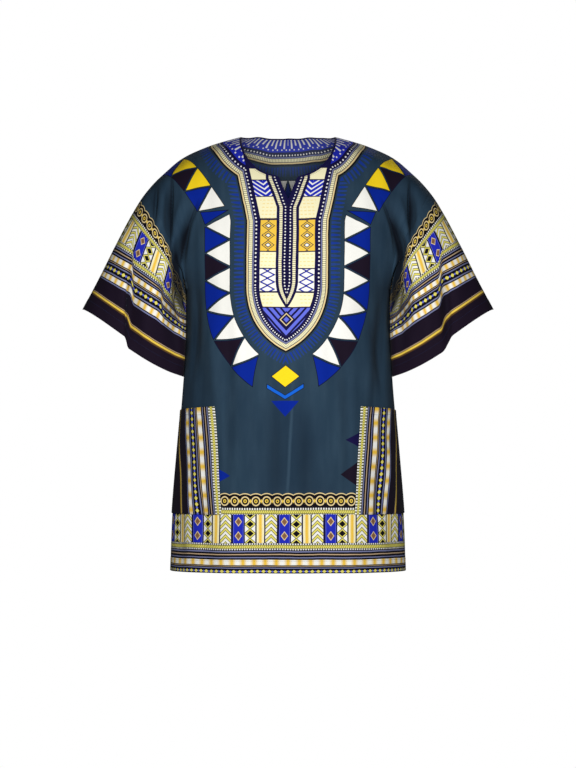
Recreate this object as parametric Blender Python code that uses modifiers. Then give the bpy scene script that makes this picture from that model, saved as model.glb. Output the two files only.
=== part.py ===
"""A men's dashiki shirt in its worn, hollow form: a straight T-cut of printed cotton cloth.

Metres, +Z up. The front faces -Y and the wearer's left is +X. The origin is the middle of the neck opening,
level with the two points where the shoulders meet the neck. Each cut piece is an open sheet of cloth, laid
on a surface worked out from the tables below, that a Solidify modifier thickens to a wall.
"""

import math

import bpy
import numpy as np

# ---------------------------------------------------------------- driving sizes
WALL = 0.0012  # cloth with its turned edges
SEAM_GAP = 0.0003  # between two pieces sewn together
BINDING_WIDTH = 0.0034
BINDING_WALL = 0.0020

PANEL_HALF_TOP = 0.280  # from the centre line to the sleeve seam, along the shoulder
SLEEVE_LENGTH = 0.233  # from the sleeve seam to the cuff, along the top fold
ARMPIT_DOWN = 0.268
HEM_DOWN = 0.757

NECK_HALF_WIDTH = 0.085
NECK_FRONT_DROP = 0.076
NECK_BACK_REACH = 0.064  # how far behind the shoulder line the back neck is cut
NECK_ROUNDNESS = 2.1  # exponent of the neckline's superellipse
SLIT_HALF_WIDTH = 0.019
SLIT_DOWN = 0.122

SECTION_ROUNDNESS = 2.25  # exponent of the body's superellipse sections
ARMHOLE_REACH = 5.0  # how fast the armhole's forward bulge dies out over the chest: higher is faster
ARMPIT_PART = 0.0022  # the sleeve hangs this far off the body's side at the armpit

POCKET_TOP_DOWN = 0.471
POCKET_FOOT_DOWN = 0.657
POCKET_SHARES = (0.416, 0.985)  # inner and outer edges at the foot, as shares of the panel's half width
POCKET_EDGE_LEAN = 0.775  # how far the inner edge's top leans out, in columns
POCKET_TOP_LEAN = 0.19  # how much lower the top edge's outer end is, in rows
POCKET_LIFT = WALL + 0.0004  # from the panel's middle to the pocket's
POCKET_GAPE = 0.0022  # how far the open top stands off

NECK_COLUMNS = 8  # columns of each sheet from the slit's corner to the neck point
MIDDLE_COLUMNS = 2  # from the neck point to the pocket
POCKET_COLUMNS = 7
UPPER_ROWS = 14  # from the shoulder to the armpit, and round half an armhole
CHEST_ROWS = 6  # from the armpit to the pocket
POCKET_ROWS = 5
HEM_ROWS = 3
SLEEVE_ROWS = 10

BOW_SKEW = 0.6  # how far a sleeve ring's bow leans to the inner edge
FOLD_END = 0.15  # how much of a fold is left where its line ends
FOLD_FREE = 0.045  # folds reach their full height this far from the line where front and back meet
ARMPIT_PART_START = 0.25  # share of the armhole from which the sleeve parts from the body's side
ARMPIT_PART_EASE = 1.5

# ---------------------------------------------------------------- tables
# The shoulder line and the sleeve's top fold from the front: out from the centre, down from the neck.
SHOULDER_LINE = (  # out, down
    (0.000, -0.014),
    (0.045, -0.009),
    (0.086, 0.001),
    (0.145, 0.019),
    (0.188, 0.040),
    (0.213, 0.061),
    (0.235, 0.082),
    (0.253, 0.104),
    (0.272, 0.135),
    (0.300, 0.188),
    (0.331, 0.250),
    (0.359, 0.303),
)
# The body's upper middle from the side: down from the neck, and how far the cloth stands out.
FRONT_MIDDLE = (  # out, down
    (0.000, -0.014),
    (0.040, 0.008),
    (0.078, 0.058),
    (0.103, 0.118),
    (0.124, 0.195),
    (0.134, 0.268),
)
BACK_MIDDLE = (  # out, down
    (0.000, -0.014),
    (0.036, -0.010),
    (0.070, 0.004),
    (0.101, 0.060),
    (0.122, 0.150),
    (0.126, 0.268),
)
# The body below the armpits: level sections.
BODY_SECTIONS = (  # down, half width, front depth, back depth
    (0.268, 0.1775, 0.134, 0.126),
    (0.340, 0.1770, 0.138, 0.125),
    (0.434, 0.1830, 0.141, 0.126),
    (0.550, 0.1930, 0.143, 0.131),
    (0.670, 0.2025, 0.147, 0.138),
    (0.757, 0.2055, 0.150, 0.143),
)
# The sleeve: rings between the top fold and the inner edge. Bow lifts a ring's middle back up the sleeve.
SLEEVE_RINGS = (  # share of top fold, share of inner edge, bow, front depth, back depth, forward
    (0.00, 0.00, 0.010, 0.070, 0.066, 0.000),
    (0.15, 0.12, 0.011, 0.067, 0.062, 0.005),
    (0.45, 0.28, 0.008, 0.060, 0.055, 0.011),
    (0.70, 0.53, 0.003, 0.054, 0.051, 0.014),
    (0.85, 0.79, -0.004, 0.051, 0.049, 0.015),
    (1.00, 1.00, -0.012, 0.050, 0.048, 0.016),
)
# The sleeve's inner edge from the armpit to the cuff.
INNER_EDGE = (  # out, down
    (0.1775, 0.268),
    (0.1777, 0.310),
    (0.1785, 0.365),
    (0.1823, 0.419),
)
# Largest folds, as troughs (minus) and ridges (plus) seen from the front or from the back. Side is +1 at the
# wearer's left. Spread is the fold's half width.
FRONT_FOLDS = (  # side, out and down at the start, out and down at the end, height, spread
    (-1, 0.203, 0.066, 0.204, 0.190, -0.0060, 0.010),
    (-1, 0.220, 0.070, 0.222, 0.175, 0.0040, 0.012),
    (-1, 0.150, 0.122, 0.186, 0.225, -0.0060, 0.014),
    (-1, 0.262, 0.210, 0.279, 0.372, -0.0080, 0.012),
    (-1, 0.236, 0.225, 0.250, 0.390, 0.0060, 0.016),
    (-1, 0.150, 0.300, 0.146, 0.520, -0.0055, 0.020),
    (-1, 0.108, 0.330, 0.104, 0.960, 0.0045, 0.026),
    (-1, 0.050, 0.520, 0.040, 0.980, -0.0045, 0.028),
    (1, 0.212, 0.085, 0.213, 0.172, -0.0060, 0.010),
    (1, 0.159, 0.122, 0.193, 0.215, -0.0060, 0.014),
    (1, 0.272, 0.230, 0.277, 0.376, -0.0080, 0.012),
    (1, 0.243, 0.240, 0.244, 0.395, 0.0060, 0.016),
    (1, 0.208, 0.280, 0.212, 0.360, -0.0040, 0.012),
    (1, 0.156, 0.310, 0.142, 0.540, -0.0060, 0.020),
    (1, 0.112, 0.400, 0.122, 0.990, 0.0050, 0.026),
    (1, 0.062, 0.560, 0.070, 0.960, -0.0045, 0.026),
)
BACK_FOLDS = (  # the same columns, seen from the back
    (-1, 0.206, 0.080, 0.204, 0.185, -0.0055, 0.011),
    (-1, 0.140, 0.160, 0.178, 0.245, -0.0060, 0.016),
    (-1, 0.268, 0.220, 0.282, 0.365, -0.0070, 0.013),
    (-1, 0.132, 0.290, 0.118, 0.960, -0.0080, 0.024),
    (-1, 0.066, 0.340, 0.055, 1.020, 0.0080, 0.030),
    (-1, 0.012, 0.400, 0.008, 0.980, -0.0060, 0.026),
    (1, 0.200, 0.075, 0.206, 0.170, -0.0055, 0.011),
    (1, 0.146, 0.150, 0.182, 0.240, -0.0060, 0.016),
    (1, 0.275, 0.235, 0.280, 0.360, -0.0070, 0.013),
    (1, 0.126, 0.310, 0.136, 0.980, -0.0080, 0.026),
    (1, 0.058, 0.420, 0.074, 1.000, 0.0070, 0.028),
)

COLOURS = {
    "front_panel": (0.035, 0.075, 0.110),
    "back_panel": (0.028, 0.060, 0.092),
    "sleeve": (0.110, 0.085, 0.060),
    "pocket": (0.230, 0.180, 0.070),
    "neck_binding": (0.010, 0.008, 0.030),
}
ROUGHNESS = 0.85


# ---------------------------------------------------------------- curves
def read(table, column, key):
    """A table's column at any value of its first column, on a smooth curve through the rows."""
    keys = np.array([row[0] for row in table])
    values = np.array([row[column] for row in table])
    slopes = np.gradient(values, keys)
    first = np.clip(np.searchsorted(keys, key) - 1, 0, len(keys) - 2)
    span = keys[first + 1] - keys[first]
    t = (key - keys[first]) / span
    start = (2 * t**3 - 3 * t**2 + 1) * values[first] + (t**3 - 2 * t**2 + t) * span * slopes[first]
    end = (3 * t**2 - 2 * t**3) * values[first + 1] + (t**3 - t**2) * span * slopes[first + 1]
    return start + end


def drawn(rows, samples=16):
    """Dense points on a smooth curve through a table's rows."""
    places = np.array(rows)
    steps = np.concatenate([[0.0], np.cumsum(np.linalg.norm(np.diff(places, axis=0), axis=1))])
    keyed = [(step, *place) for step, place in zip(steps, places)]
    at = np.linspace(0.0, steps[-1], samples * len(rows))
    return np.stack([read(keyed, 1 + axis, at) for axis in range(places.shape[1])], axis=1)


def lengths(points):
    """The distance along a line of points from its first one."""
    return np.concatenate([[0.0], np.cumsum(np.linalg.norm(np.diff(points, axis=0), axis=1))])


def at_distance(points, distance):
    """The places at these distances along a line of points."""
    run = lengths(points)
    return np.stack([np.interp(distance, run, points[:, axis]) for axis in range(points.shape[1])], axis=-1)


def at_share(points, share):
    """The places at these shares of a line's length."""
    return at_distance(points, np.asarray(share) * lengths(points)[-1])


SHOULDER = drawn(SHOULDER_LINE)
INNER = drawn(INNER_EDGE)
MIDDLES = {-1: drawn(FRONT_MIDDLE), 1: drawn(BACK_MIDDLE)}


# ---------------------------------------------------------------- surface of the cloth, without folds
# Facing is -1 for the front of the shirt and +1 for its back. Every point is x, y, z on the wearer's left.
def ring(share, facing, shares_round):
    """Points round half a sleeve ring, from the top fold to the inner edge."""
    top = at_distance(SHOULDER, PANEL_HALF_TOP + share * SLEEVE_LENGTH)
    inner = at_share(INNER, read(SLEEVE_RINGS, 1, share))
    depth = read(SLEEVE_RINGS, 3 if facing < 0 else 4, share)
    forward = read(SLEEVE_RINGS, 5, share)
    middle = (top + inner) / 2
    half = (top - inner) / 2
    back_up = np.array([-half[1], half[0]]) / np.linalg.norm(half)
    bow = read(SLEEVE_RINGS, 2, share)
    turn = np.linspace(0.0, math.pi, 97)
    lift = bow * np.sin(turn) ** 2 * (1 - BOW_SKEW * np.cos(turn))
    flat = middle + np.outer(np.cos(turn), half) - np.outer(lift, back_up)
    away = facing * depth * np.sin(turn) - forward
    return at_share(np.stack([flat[:, 0], away, -flat[:, 1]], axis=1), shares_round)


def section(down, facing, shares):
    """Points along half a level section of the body, from its middle to the side seam."""
    half_width = read(BODY_SECTIONS, 1, down)
    depth = read(BODY_SECTIONS, 2 if facing < 0 else 3, down)
    turn = np.linspace(0.0, math.pi / 2, 65)
    out = half_width * np.sin(turn) ** (2 / SECTION_ROUNDNESS)
    away = facing * depth * np.cos(turn) ** (2 / SECTION_ROUNDNESS)
    return at_share(np.stack([out, away, np.full_like(out, -down)], axis=1), shares)


def middle_line(facing, falls):
    """Points down the upper middle of the front or the back."""
    line = at_share(MIDDLES[facing], falls)
    return np.stack([np.zeros_like(line[..., 0]), facing * line[..., 0], -line[..., 1]], axis=-1)


def upper(facing, shares, falls):
    """Body points between the shoulder line and the armpit, for shares of the half width and of the fall.

    The straight sheet between the shoulder line and the chest swells with the middle line and the armhole.
    """
    shoulder = at_distance(SHOULDER, shares * PANEL_HALF_TOP)
    top = np.stack([shoulder[..., 0], np.zeros_like(shares), -shoulder[..., 1]], axis=-1)
    foot = section(ARMPIT_DOWN, facing, shares)
    fall = falls[..., None]

    def swell(line):
        ends = line(facing, np.array([0.0, 1.0]))
        return line(facing, falls) - (1 - fall) * ends[0] - fall * ends[1]

    near_edge = (shares**ARMHOLE_REACH)[..., None]
    sheet = (1 - fall) * top + fall * foot
    return sheet + (1 - near_edge) * swell(middle_line) + near_edge * swell(armhole)


def armhole(facing, falls):
    """Points down the body's own edge of the armhole."""
    return ring(0.0, facing, falls)


def fold_push(points, facing):
    """How far the folds push each point out, from where it shows in the front or back view."""
    push = np.zeros(points.shape[:-1])
    for side, out, down, end_out, end_down, height, spread in FRONT_FOLDS if facing < 0 else BACK_FOLDS:
        start = np.array([side * out, -down])
        line = np.array([side * end_out, -end_down]) - start
        away = points[..., [0, 2]] - start
        share = away @ line / (line @ line)
        across = (away[..., 0] * line[1] - away[..., 1] * line[0]) / np.linalg.norm(line)
        fade = np.clip(share * (1 - share) * 4 + FOLD_END, 0, 1) ** 2
        push += height * fade * np.exp(-((across / spread) ** 2))
    return push


def folded(points, facing):
    """Pushes points out by the folds, and not at all where front and back meet."""
    meet = np.clip(np.abs(points[..., 1]) / FOLD_FREE, 0, 1)
    moved = points.copy()
    moved[..., 1] += facing * fold_push(points, facing) * meet**2 * (3 - 2 * meet)
    return moved


# ---------------------------------------------------------------- layout of the sheets
def neck_cut(out):
    """The neck opening at this distance from the centre: its depth in front and its reach behind."""
    round_share = (1 - np.clip(out / NECK_HALF_WIDTH, 0, 1) ** NECK_ROUNDNESS) ** (1 / NECK_ROUNDNESS)
    corner = NECK_FRONT_DROP * (1 - (SLIT_HALF_WIDTH / NECK_HALF_WIDTH) ** NECK_ROUNDNESS) ** (
        1 / NECK_ROUNDNESS
    )
    slit = SLIT_DOWN - (SLIT_DOWN - corner) * out / SLIT_HALF_WIDTH
    return np.maximum(NECK_FRONT_DROP * round_share, slit), NECK_BACK_REACH * round_share


def first_fall(facing, share):
    """The share of the fall at which a column starts: 0 on the shoulder, more where the neck is cut out."""
    if share >= NECK_SHARE:
        return 0.0
    falls = np.linspace(0.0, 0.8, 321)
    line = upper(facing, np.full_like(falls, share), falls)
    front_depth, back_reach = neck_cut(line[:, 0])
    inside = -line[:, 2] - front_depth if facing < 0 else line[:, 1] - back_reach
    after = int(np.argmax(inside > 0))
    step = inside[after - 1] / (inside[after - 1] - inside[after])
    return falls[after - 1] + step * (falls[1] - falls[0])


def share_at(out):
    """The share of the panel's half width at which the shoulder line is this far out."""
    return np.interp(out, SHOULDER[:, 0], lengths(SHOULDER)) / PANEL_HALF_TOP


NECK_SHARE = share_at(NECK_HALF_WIDTH)
NECK_TURNS = np.linspace(math.asin(SLIT_HALF_WIDTH / NECK_HALF_WIDTH), math.pi / 2, NECK_COLUMNS)
HALF_SHARES = np.concatenate(
    [
        [0.0],
        share_at(NECK_HALF_WIDTH * np.sin(NECK_TURNS)),
        np.linspace(NECK_SHARE, POCKET_SHARES[0], MIDDLE_COLUMNS + 1)[1:],
        np.linspace(*POCKET_SHARES, POCKET_COLUMNS + 1)[1:],
        [1.0],
    ]
)
LOWER_DOWNS = np.concatenate(
    [
        np.linspace(ARMPIT_DOWN, POCKET_TOP_DOWN, CHEST_ROWS + 1)[1:],
        np.linspace(POCKET_TOP_DOWN, POCKET_FOOT_DOWN, POCKET_ROWS + 1)[1:],
        np.linspace(POCKET_FOOT_DOWN, HEM_DOWN, HEM_ROWS + 1)[1:],
    ]
)


def panel_points(facing):
    """The front's or the back's points: rows from the shoulder to the hem, columns from right to left."""
    halves = []
    for side in (-1, 1):
        columns = []
        for share in HALF_SHARES if side > 0 else HALF_SHARES[:0:-1]:
            start = first_fall(facing, share)
            falls = start + (1 - start) * np.linspace(0, 1, UPPER_ROWS + 1)
            high = upper(facing, np.full_like(falls, share), falls)
            low = [section(down, facing, share) for down in LOWER_DOWNS]
            columns.append(np.concatenate([high, low]) * (side, 1, 1))
        halves.append(np.stack(columns, axis=1))
    points = folded(np.concatenate(halves, axis=1), facing)
    points[..., 1] += facing * SEAM_GAP / 2
    return points


def normals_of(points):
    """Unit normals of a grid of points, by the directions of its rows and columns."""
    across = np.gradient(points, axis=1)
    along = np.gradient(points, axis=0)
    normals = np.cross(along, across)
    return normals / np.linalg.norm(normals, axis=-1, keepdims=True)


def pocket_points(panel, side):
    """A patch pocket's points: the front's own points between its edges, moved out, and a leaning top corner."""
    lifted = panel + normals_of(panel) * POCKET_LIFT
    rows = slice(UPPER_ROWS + CHEST_ROWS, UPPER_ROWS + CHEST_ROWS + POCKET_ROWS + 1)
    centre = len(HALF_SHARES) - 1
    inner = 1 + NECK_COLUMNS + MIDDLE_COLUMNS - 1
    columns = slice(centre + inner, centre + inner + POCKET_COLUMNS + 1)
    if side < 0:
        columns = slice(centre - inner - POCKET_COLUMNS, centre - inner + 1)
    patch = lifted[rows, columns][:, ::side].copy()
    fall = np.linspace(1, 0, patch.shape[0])
    patch[:, 0] += POCKET_EDGE_LEAN * fall[:, None] * (patch[:, 1] - patch[:, 0])
    reach = np.linspace(0, 1, patch.shape[1])
    patch[0] += POCKET_TOP_LEAN * reach[:, None] * (patch[1] - patch[0])
    patch[..., 1] -= POCKET_GAPE * np.outer(fall**3, np.sin(math.pi * reach))
    return patch[:, ::side]


def sleeve_points(side):
    """A sleeve's points: rings from the armhole seam to the cuff, each once round from the top fold."""
    falls = np.linspace(0, 1, UPPER_ROWS + 1)
    rings = []
    for share in np.linspace(SEAM_GAP / SLEEVE_LENGTH, 1.0, SLEEVE_ROWS + 1):
        halves = []
        for facing in (-1, 1):
            half = ring(share, facing, falls)
            part = np.clip((falls - ARMPIT_PART_START) / (1 - ARMPIT_PART_START), 0, 1)
            half[:, 0] += ARMPIT_PART * part**ARMPIT_PART_EASE
            halves.append(folded(half * (side, 1, 1), facing))
        rings.append(np.concatenate([halves[0], halves[1][-2:0:-1]]))
    return np.stack(rings)


def binding_points(front, back):
    """The neck binding's points: once round the opening, from its seam to its free edge."""
    edge = np.concatenate([neck_edge(front), neck_edge(back)[-2:0:-1]])
    normals = np.concatenate([neck_edge(normals_of(front)), -neck_edge(normals_of(back))[-2:0:-1]])
    before = edge - np.roll(edge, 1, axis=0)
    after = np.roll(edge, -1, axis=0) - edge
    before /= np.linalg.norm(before, axis=1, keepdims=True)
    after /= np.linalg.norm(after, axis=1, keepdims=True)
    inward = np.cross(normals, before + after)
    inward /= np.linalg.norm(inward, axis=1, keepdims=True)
    half_turn_cosine = np.sqrt((1 + np.sum(before * after, axis=1, keepdims=True)) / 2)
    mitre = inward / half_turn_cosine
    return np.stack([edge + mitre * SEAM_GAP, edge + mitre * (SEAM_GAP + BINDING_WIDTH)])


def neck_edge(grid):
    """The part of a panel grid's first row that lies on the neck opening."""
    centre = len(HALF_SHARES) - 1
    return grid[0, centre - NECK_COLUMNS : centre + NECK_COLUMNS + 1]


# ---------------------------------------------------------------- objects
def cloth_material(name):
    """Matte printed cotton in the piece's mean colour."""
    material = bpy.data.materials.new(name + "_cotton")
    material.use_nodes = True
    shader = material.node_tree.nodes["Principled BSDF"]
    colour = COLOURS.get(name) or COLOURS[name.split("_")[0]]
    shader.inputs["Base Color"].default_value = (*colour, 1.0)
    shader.inputs["Roughness"].default_value = ROUGHNESS
    shader.inputs["Metallic"].default_value = 0.0
    return material


def add_sheet(collection, name, points, wall=WALL, closed=False, flip=False):
    """An open sheet through a grid of points, thickened evenly to both sides."""
    rows, columns = points.shape[:2]
    last = columns if closed else columns - 1
    faces = []
    for row in range(rows - 1):
        for column in range(last):
            beside = (column + 1) % columns
            face = [row * columns + column, row * columns + beside]
            face += [(row + 1) * columns + beside, (row + 1) * columns + column]
            faces.append(face[::-1] if flip else face)
    mesh = bpy.data.meshes.new(name)
    mesh.from_pydata(points.reshape(-1, 3).tolist(), [], faces)
    mesh.materials.append(cloth_material(name))
    mesh.shade_smooth()
    piece = bpy.data.objects.new(name, mesh)
    collection.objects.link(piece)
    thicken = piece.modifiers.new("Wall", "SOLIDIFY")
    thicken.thickness = wall
    thicken.offset = 0.0
    return piece


def build():
    """Builds every cut piece of the shirt."""
    for item in list(bpy.data.objects):
        bpy.data.objects.remove(item)
    shirt = bpy.data.collections.new("dashiki_shirt")
    bpy.context.scene.collection.children.link(shirt)
    front = panel_points(-1)
    back = panel_points(1)
    add_sheet(shirt, "front_panel", front)
    add_sheet(shirt, "back_panel", back, flip=True)
    for name, side in (("left", 1), ("right", -1)):
        add_sheet(shirt, f"sleeve_{name}", sleeve_points(side), closed=True, flip=side > 0)
        add_sheet(shirt, f"pocket_{name}", pocket_points(front, side))
    add_sheet(shirt, "neck_binding", binding_points(front, back), wall=BINDING_WALL, closed=True)


build()
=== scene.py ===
"""Looks of the worn dashiki shirt: its fine cloth with creases, seams, stitching and printed cotton, with
shade painted into the creases.

Metres, +Z up, front facing -Y, wearer's left at +X, as in the part. The cloth lies on the same surface
as the part's solids, so the tables and functions of that surface are repeated here. A point of a panel is
known by its share of the panel's half width and by its fall from the shoulder. It is printed by its cloth
coordinates: across, from the centre line, and up, from the level of the neck points, both along the cloth.
"""

import math

import bpy
import numpy as np
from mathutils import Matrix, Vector


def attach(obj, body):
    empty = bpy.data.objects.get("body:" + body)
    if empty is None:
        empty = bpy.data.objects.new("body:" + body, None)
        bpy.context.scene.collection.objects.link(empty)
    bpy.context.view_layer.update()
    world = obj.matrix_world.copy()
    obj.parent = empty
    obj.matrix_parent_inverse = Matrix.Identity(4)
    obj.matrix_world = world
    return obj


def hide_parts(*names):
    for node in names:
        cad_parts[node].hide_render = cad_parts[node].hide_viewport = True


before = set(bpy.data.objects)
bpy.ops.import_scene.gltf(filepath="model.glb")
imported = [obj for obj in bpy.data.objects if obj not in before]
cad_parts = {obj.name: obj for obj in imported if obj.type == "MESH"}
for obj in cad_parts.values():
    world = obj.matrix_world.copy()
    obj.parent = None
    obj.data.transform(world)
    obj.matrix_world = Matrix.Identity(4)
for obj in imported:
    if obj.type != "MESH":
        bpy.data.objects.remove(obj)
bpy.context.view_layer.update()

# ---- sizes of the worn cloth, as in the part
PANEL_HALF_TOP = 0.280  # from the centre line to the sleeve seam, along the shoulder
SLEEVE_LENGTH = 0.233  # from the sleeve seam to the cuff, along the top fold
ARMPIT_DOWN = 0.268
HEM_DOWN = 0.757

NECK_HALF_WIDTH = 0.085
NECK_FRONT_DROP = 0.076
NECK_BACK_REACH = 0.064  # how far behind the shoulder line the back neck is cut
NECK_ROUNDNESS = 2.1  # exponent of the neckline's superellipse
SLIT_HALF_WIDTH = 0.019
SLIT_DOWN = 0.122

SECTION_ROUNDNESS = 2.25  # exponent of the body's superellipse sections
CURVE_SAMPLES = 193
ARMHOLE_REACH = 5.0  # how fast the armhole's forward bulge dies out over the chest: higher is faster
ARMPIT_PART = 0.0022  # the sleeve hangs this far off the body's side at the armpit
ARMPIT_PART_START = 0.25  # share of the armhole from which the sleeve parts from the body's side
BOW_SKEW = 0.6  # how far a sleeve ring's bow leans to the inner edge
FOLD_END = 0.15  # how much of a fold is left where its line ends
FOLD_FREE = 0.045  # folds reach their full height this far from the line where front and back meet

POCKET_TOP_DOWN = 0.471
POCKET_FOOT_DOWN = 0.657
POCKET_SHARES = (0.416, 0.985)
# How far the top of the inner edge leans out, in shares. It is a little more than in the part.
POCKET_EDGE_LEAN = 0.93 * (POCKET_SHARES[1] - POCKET_SHARES[0]) / 7
# How much lower the outer end of the top edge is.
POCKET_TOP_LEAN = 0.19 * (POCKET_FOOT_DOWN - POCKET_TOP_DOWN) / 5
POCKET_LIFT = 0.0016
POCKET_GAPE = 0.0022  # how far the open top stands off
BINDING_WIDTH = 0.0034
BINDING_WALL = 0.0020

SHOULDER_LINE = (  # out, down
    (0.000, -0.014),
    (0.045, -0.009),
    (0.086, 0.001),
    (0.145, 0.019),
    (0.188, 0.040),
    (0.213, 0.061),
    (0.235, 0.082),
    (0.253, 0.104),
    (0.272, 0.135),
    (0.300, 0.188),
    (0.331, 0.250),
    (0.359, 0.303),
)
FRONT_MIDDLE = (  # out, down
    (0.000, -0.014),
    (0.040, 0.008),
    (0.078, 0.058),
    (0.103, 0.118),
    (0.124, 0.195),
    (0.134, 0.268),
)
BACK_MIDDLE = (  # out, down
    (0.000, -0.014),
    (0.036, -0.010),
    (0.070, 0.004),
    (0.101, 0.060),
    (0.122, 0.150),
    (0.126, 0.268),
)
BODY_SECTIONS = (  # down, half width, front depth, back depth
    (0.268, 0.1775, 0.134, 0.126),
    (0.340, 0.1770, 0.138, 0.125),
    (0.434, 0.1830, 0.141, 0.126),
    (0.550, 0.1930, 0.143, 0.131),
    (0.670, 0.2025, 0.147, 0.138),
    (0.757, 0.2055, 0.150, 0.143),
)
SLEEVE_RINGS = (  # share of top fold, share of inner edge, bow, front depth, back depth, forward
    (0.00, 0.00, 0.010, 0.070, 0.066, 0.000),
    (0.15, 0.12, 0.011, 0.067, 0.062, 0.005),
    (0.45, 0.28, 0.008, 0.060, 0.055, 0.011),
    (0.70, 0.53, 0.003, 0.054, 0.051, 0.014),
    (0.85, 0.79, -0.004, 0.051, 0.049, 0.015),
    (1.00, 1.00, -0.012, 0.050, 0.048, 0.016),
)
INNER_EDGE = (  # out, down
    (0.1775, 0.268),
    (0.1777, 0.310),
    (0.1785, 0.365),
    (0.1823, 0.419),
)
FRONT_FOLDS = (  # side, out and down at the start, out and down at the end, height, spread
    (-1, 0.203, 0.066, 0.204, 0.190, -0.0060, 0.010),
    (-1, 0.220, 0.070, 0.222, 0.175, 0.0040, 0.012),
    (-1, 0.150, 0.122, 0.186, 0.225, -0.0060, 0.014),
    (-1, 0.262, 0.210, 0.279, 0.372, -0.0080, 0.012),
    (-1, 0.236, 0.225, 0.250, 0.390, 0.0060, 0.016),
    (-1, 0.150, 0.300, 0.146, 0.520, -0.0055, 0.020),
    (-1, 0.108, 0.330, 0.104, 0.960, 0.0045, 0.026),
    (-1, 0.050, 0.520, 0.040, 0.980, -0.0045, 0.028),
    (1, 0.212, 0.085, 0.213, 0.172, -0.0060, 0.010),
    (1, 0.159, 0.122, 0.193, 0.215, -0.0060, 0.014),
    (1, 0.272, 0.230, 0.277, 0.376, -0.0080, 0.012),
    (1, 0.243, 0.240, 0.244, 0.395, 0.0060, 0.016),
    (1, 0.208, 0.280, 0.212, 0.360, -0.0040, 0.012),
    (1, 0.156, 0.310, 0.142, 0.540, -0.0060, 0.020),
    (1, 0.112, 0.400, 0.122, 0.990, 0.0050, 0.026),
    (1, 0.062, 0.560, 0.070, 0.960, -0.0045, 0.026),
)
BACK_FOLDS = (  # the same columns, seen from the back
    (-1, 0.206, 0.080, 0.204, 0.185, -0.0055, 0.011),
    (-1, 0.140, 0.160, 0.178, 0.245, -0.0060, 0.016),
    (-1, 0.268, 0.220, 0.282, 0.365, -0.0070, 0.013),
    (-1, 0.132, 0.290, 0.118, 0.960, -0.0080, 0.024),
    (-1, 0.066, 0.340, 0.055, 1.020, 0.0080, 0.030),
    (-1, 0.012, 0.400, 0.008, 0.980, -0.0060, 0.026),
    (1, 0.200, 0.075, 0.206, 0.170, -0.0055, 0.011),
    (1, 0.146, 0.150, 0.182, 0.240, -0.0060, 0.016),
    (1, 0.275, 0.235, 0.280, 0.360, -0.0070, 0.013),
    (1, 0.126, 0.310, 0.136, 0.980, -0.0080, 0.026),
    (1, 0.058, 0.420, 0.074, 1.000, 0.0070, 0.028),
)

# ---- sizes of the fine cloth
CLOTH = 0.0008  # single cotton
TURNED = 0.0007  # more where an edge is turned under
TURN_EASE = 0.0015  # half the run over which it grows
SEAM_PART = 0.00012  # between two pieces sewn together
HEM_TURN = 0.022
CUFF_TURN = 0.020
POCKET_TURN = 0.016

CREASE_FREE = (0.004, 0.034)  # small creases grow between these distances from where front and back meet
LEVEL_SLACK = 0.002  # places this much nearer the shoulder or further off still count as level
UNLEVEL_WEIGHT = 1e-6
TINY = 1e-12  # keeps a division by a length of nothing harmless

SLIT_COLUMNS = 6
NECK_COLUMNS = 28
OUTER_COLUMNS = 72
UPPER_ROWS = 84
LOWER_ROWS = 118
SLEEVE_ROWS = 80
SLEEVE_COLUMNS = 72  # round half a ring
POCKET_COLUMNS = 58
POCKET_ROWS = 76
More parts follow.
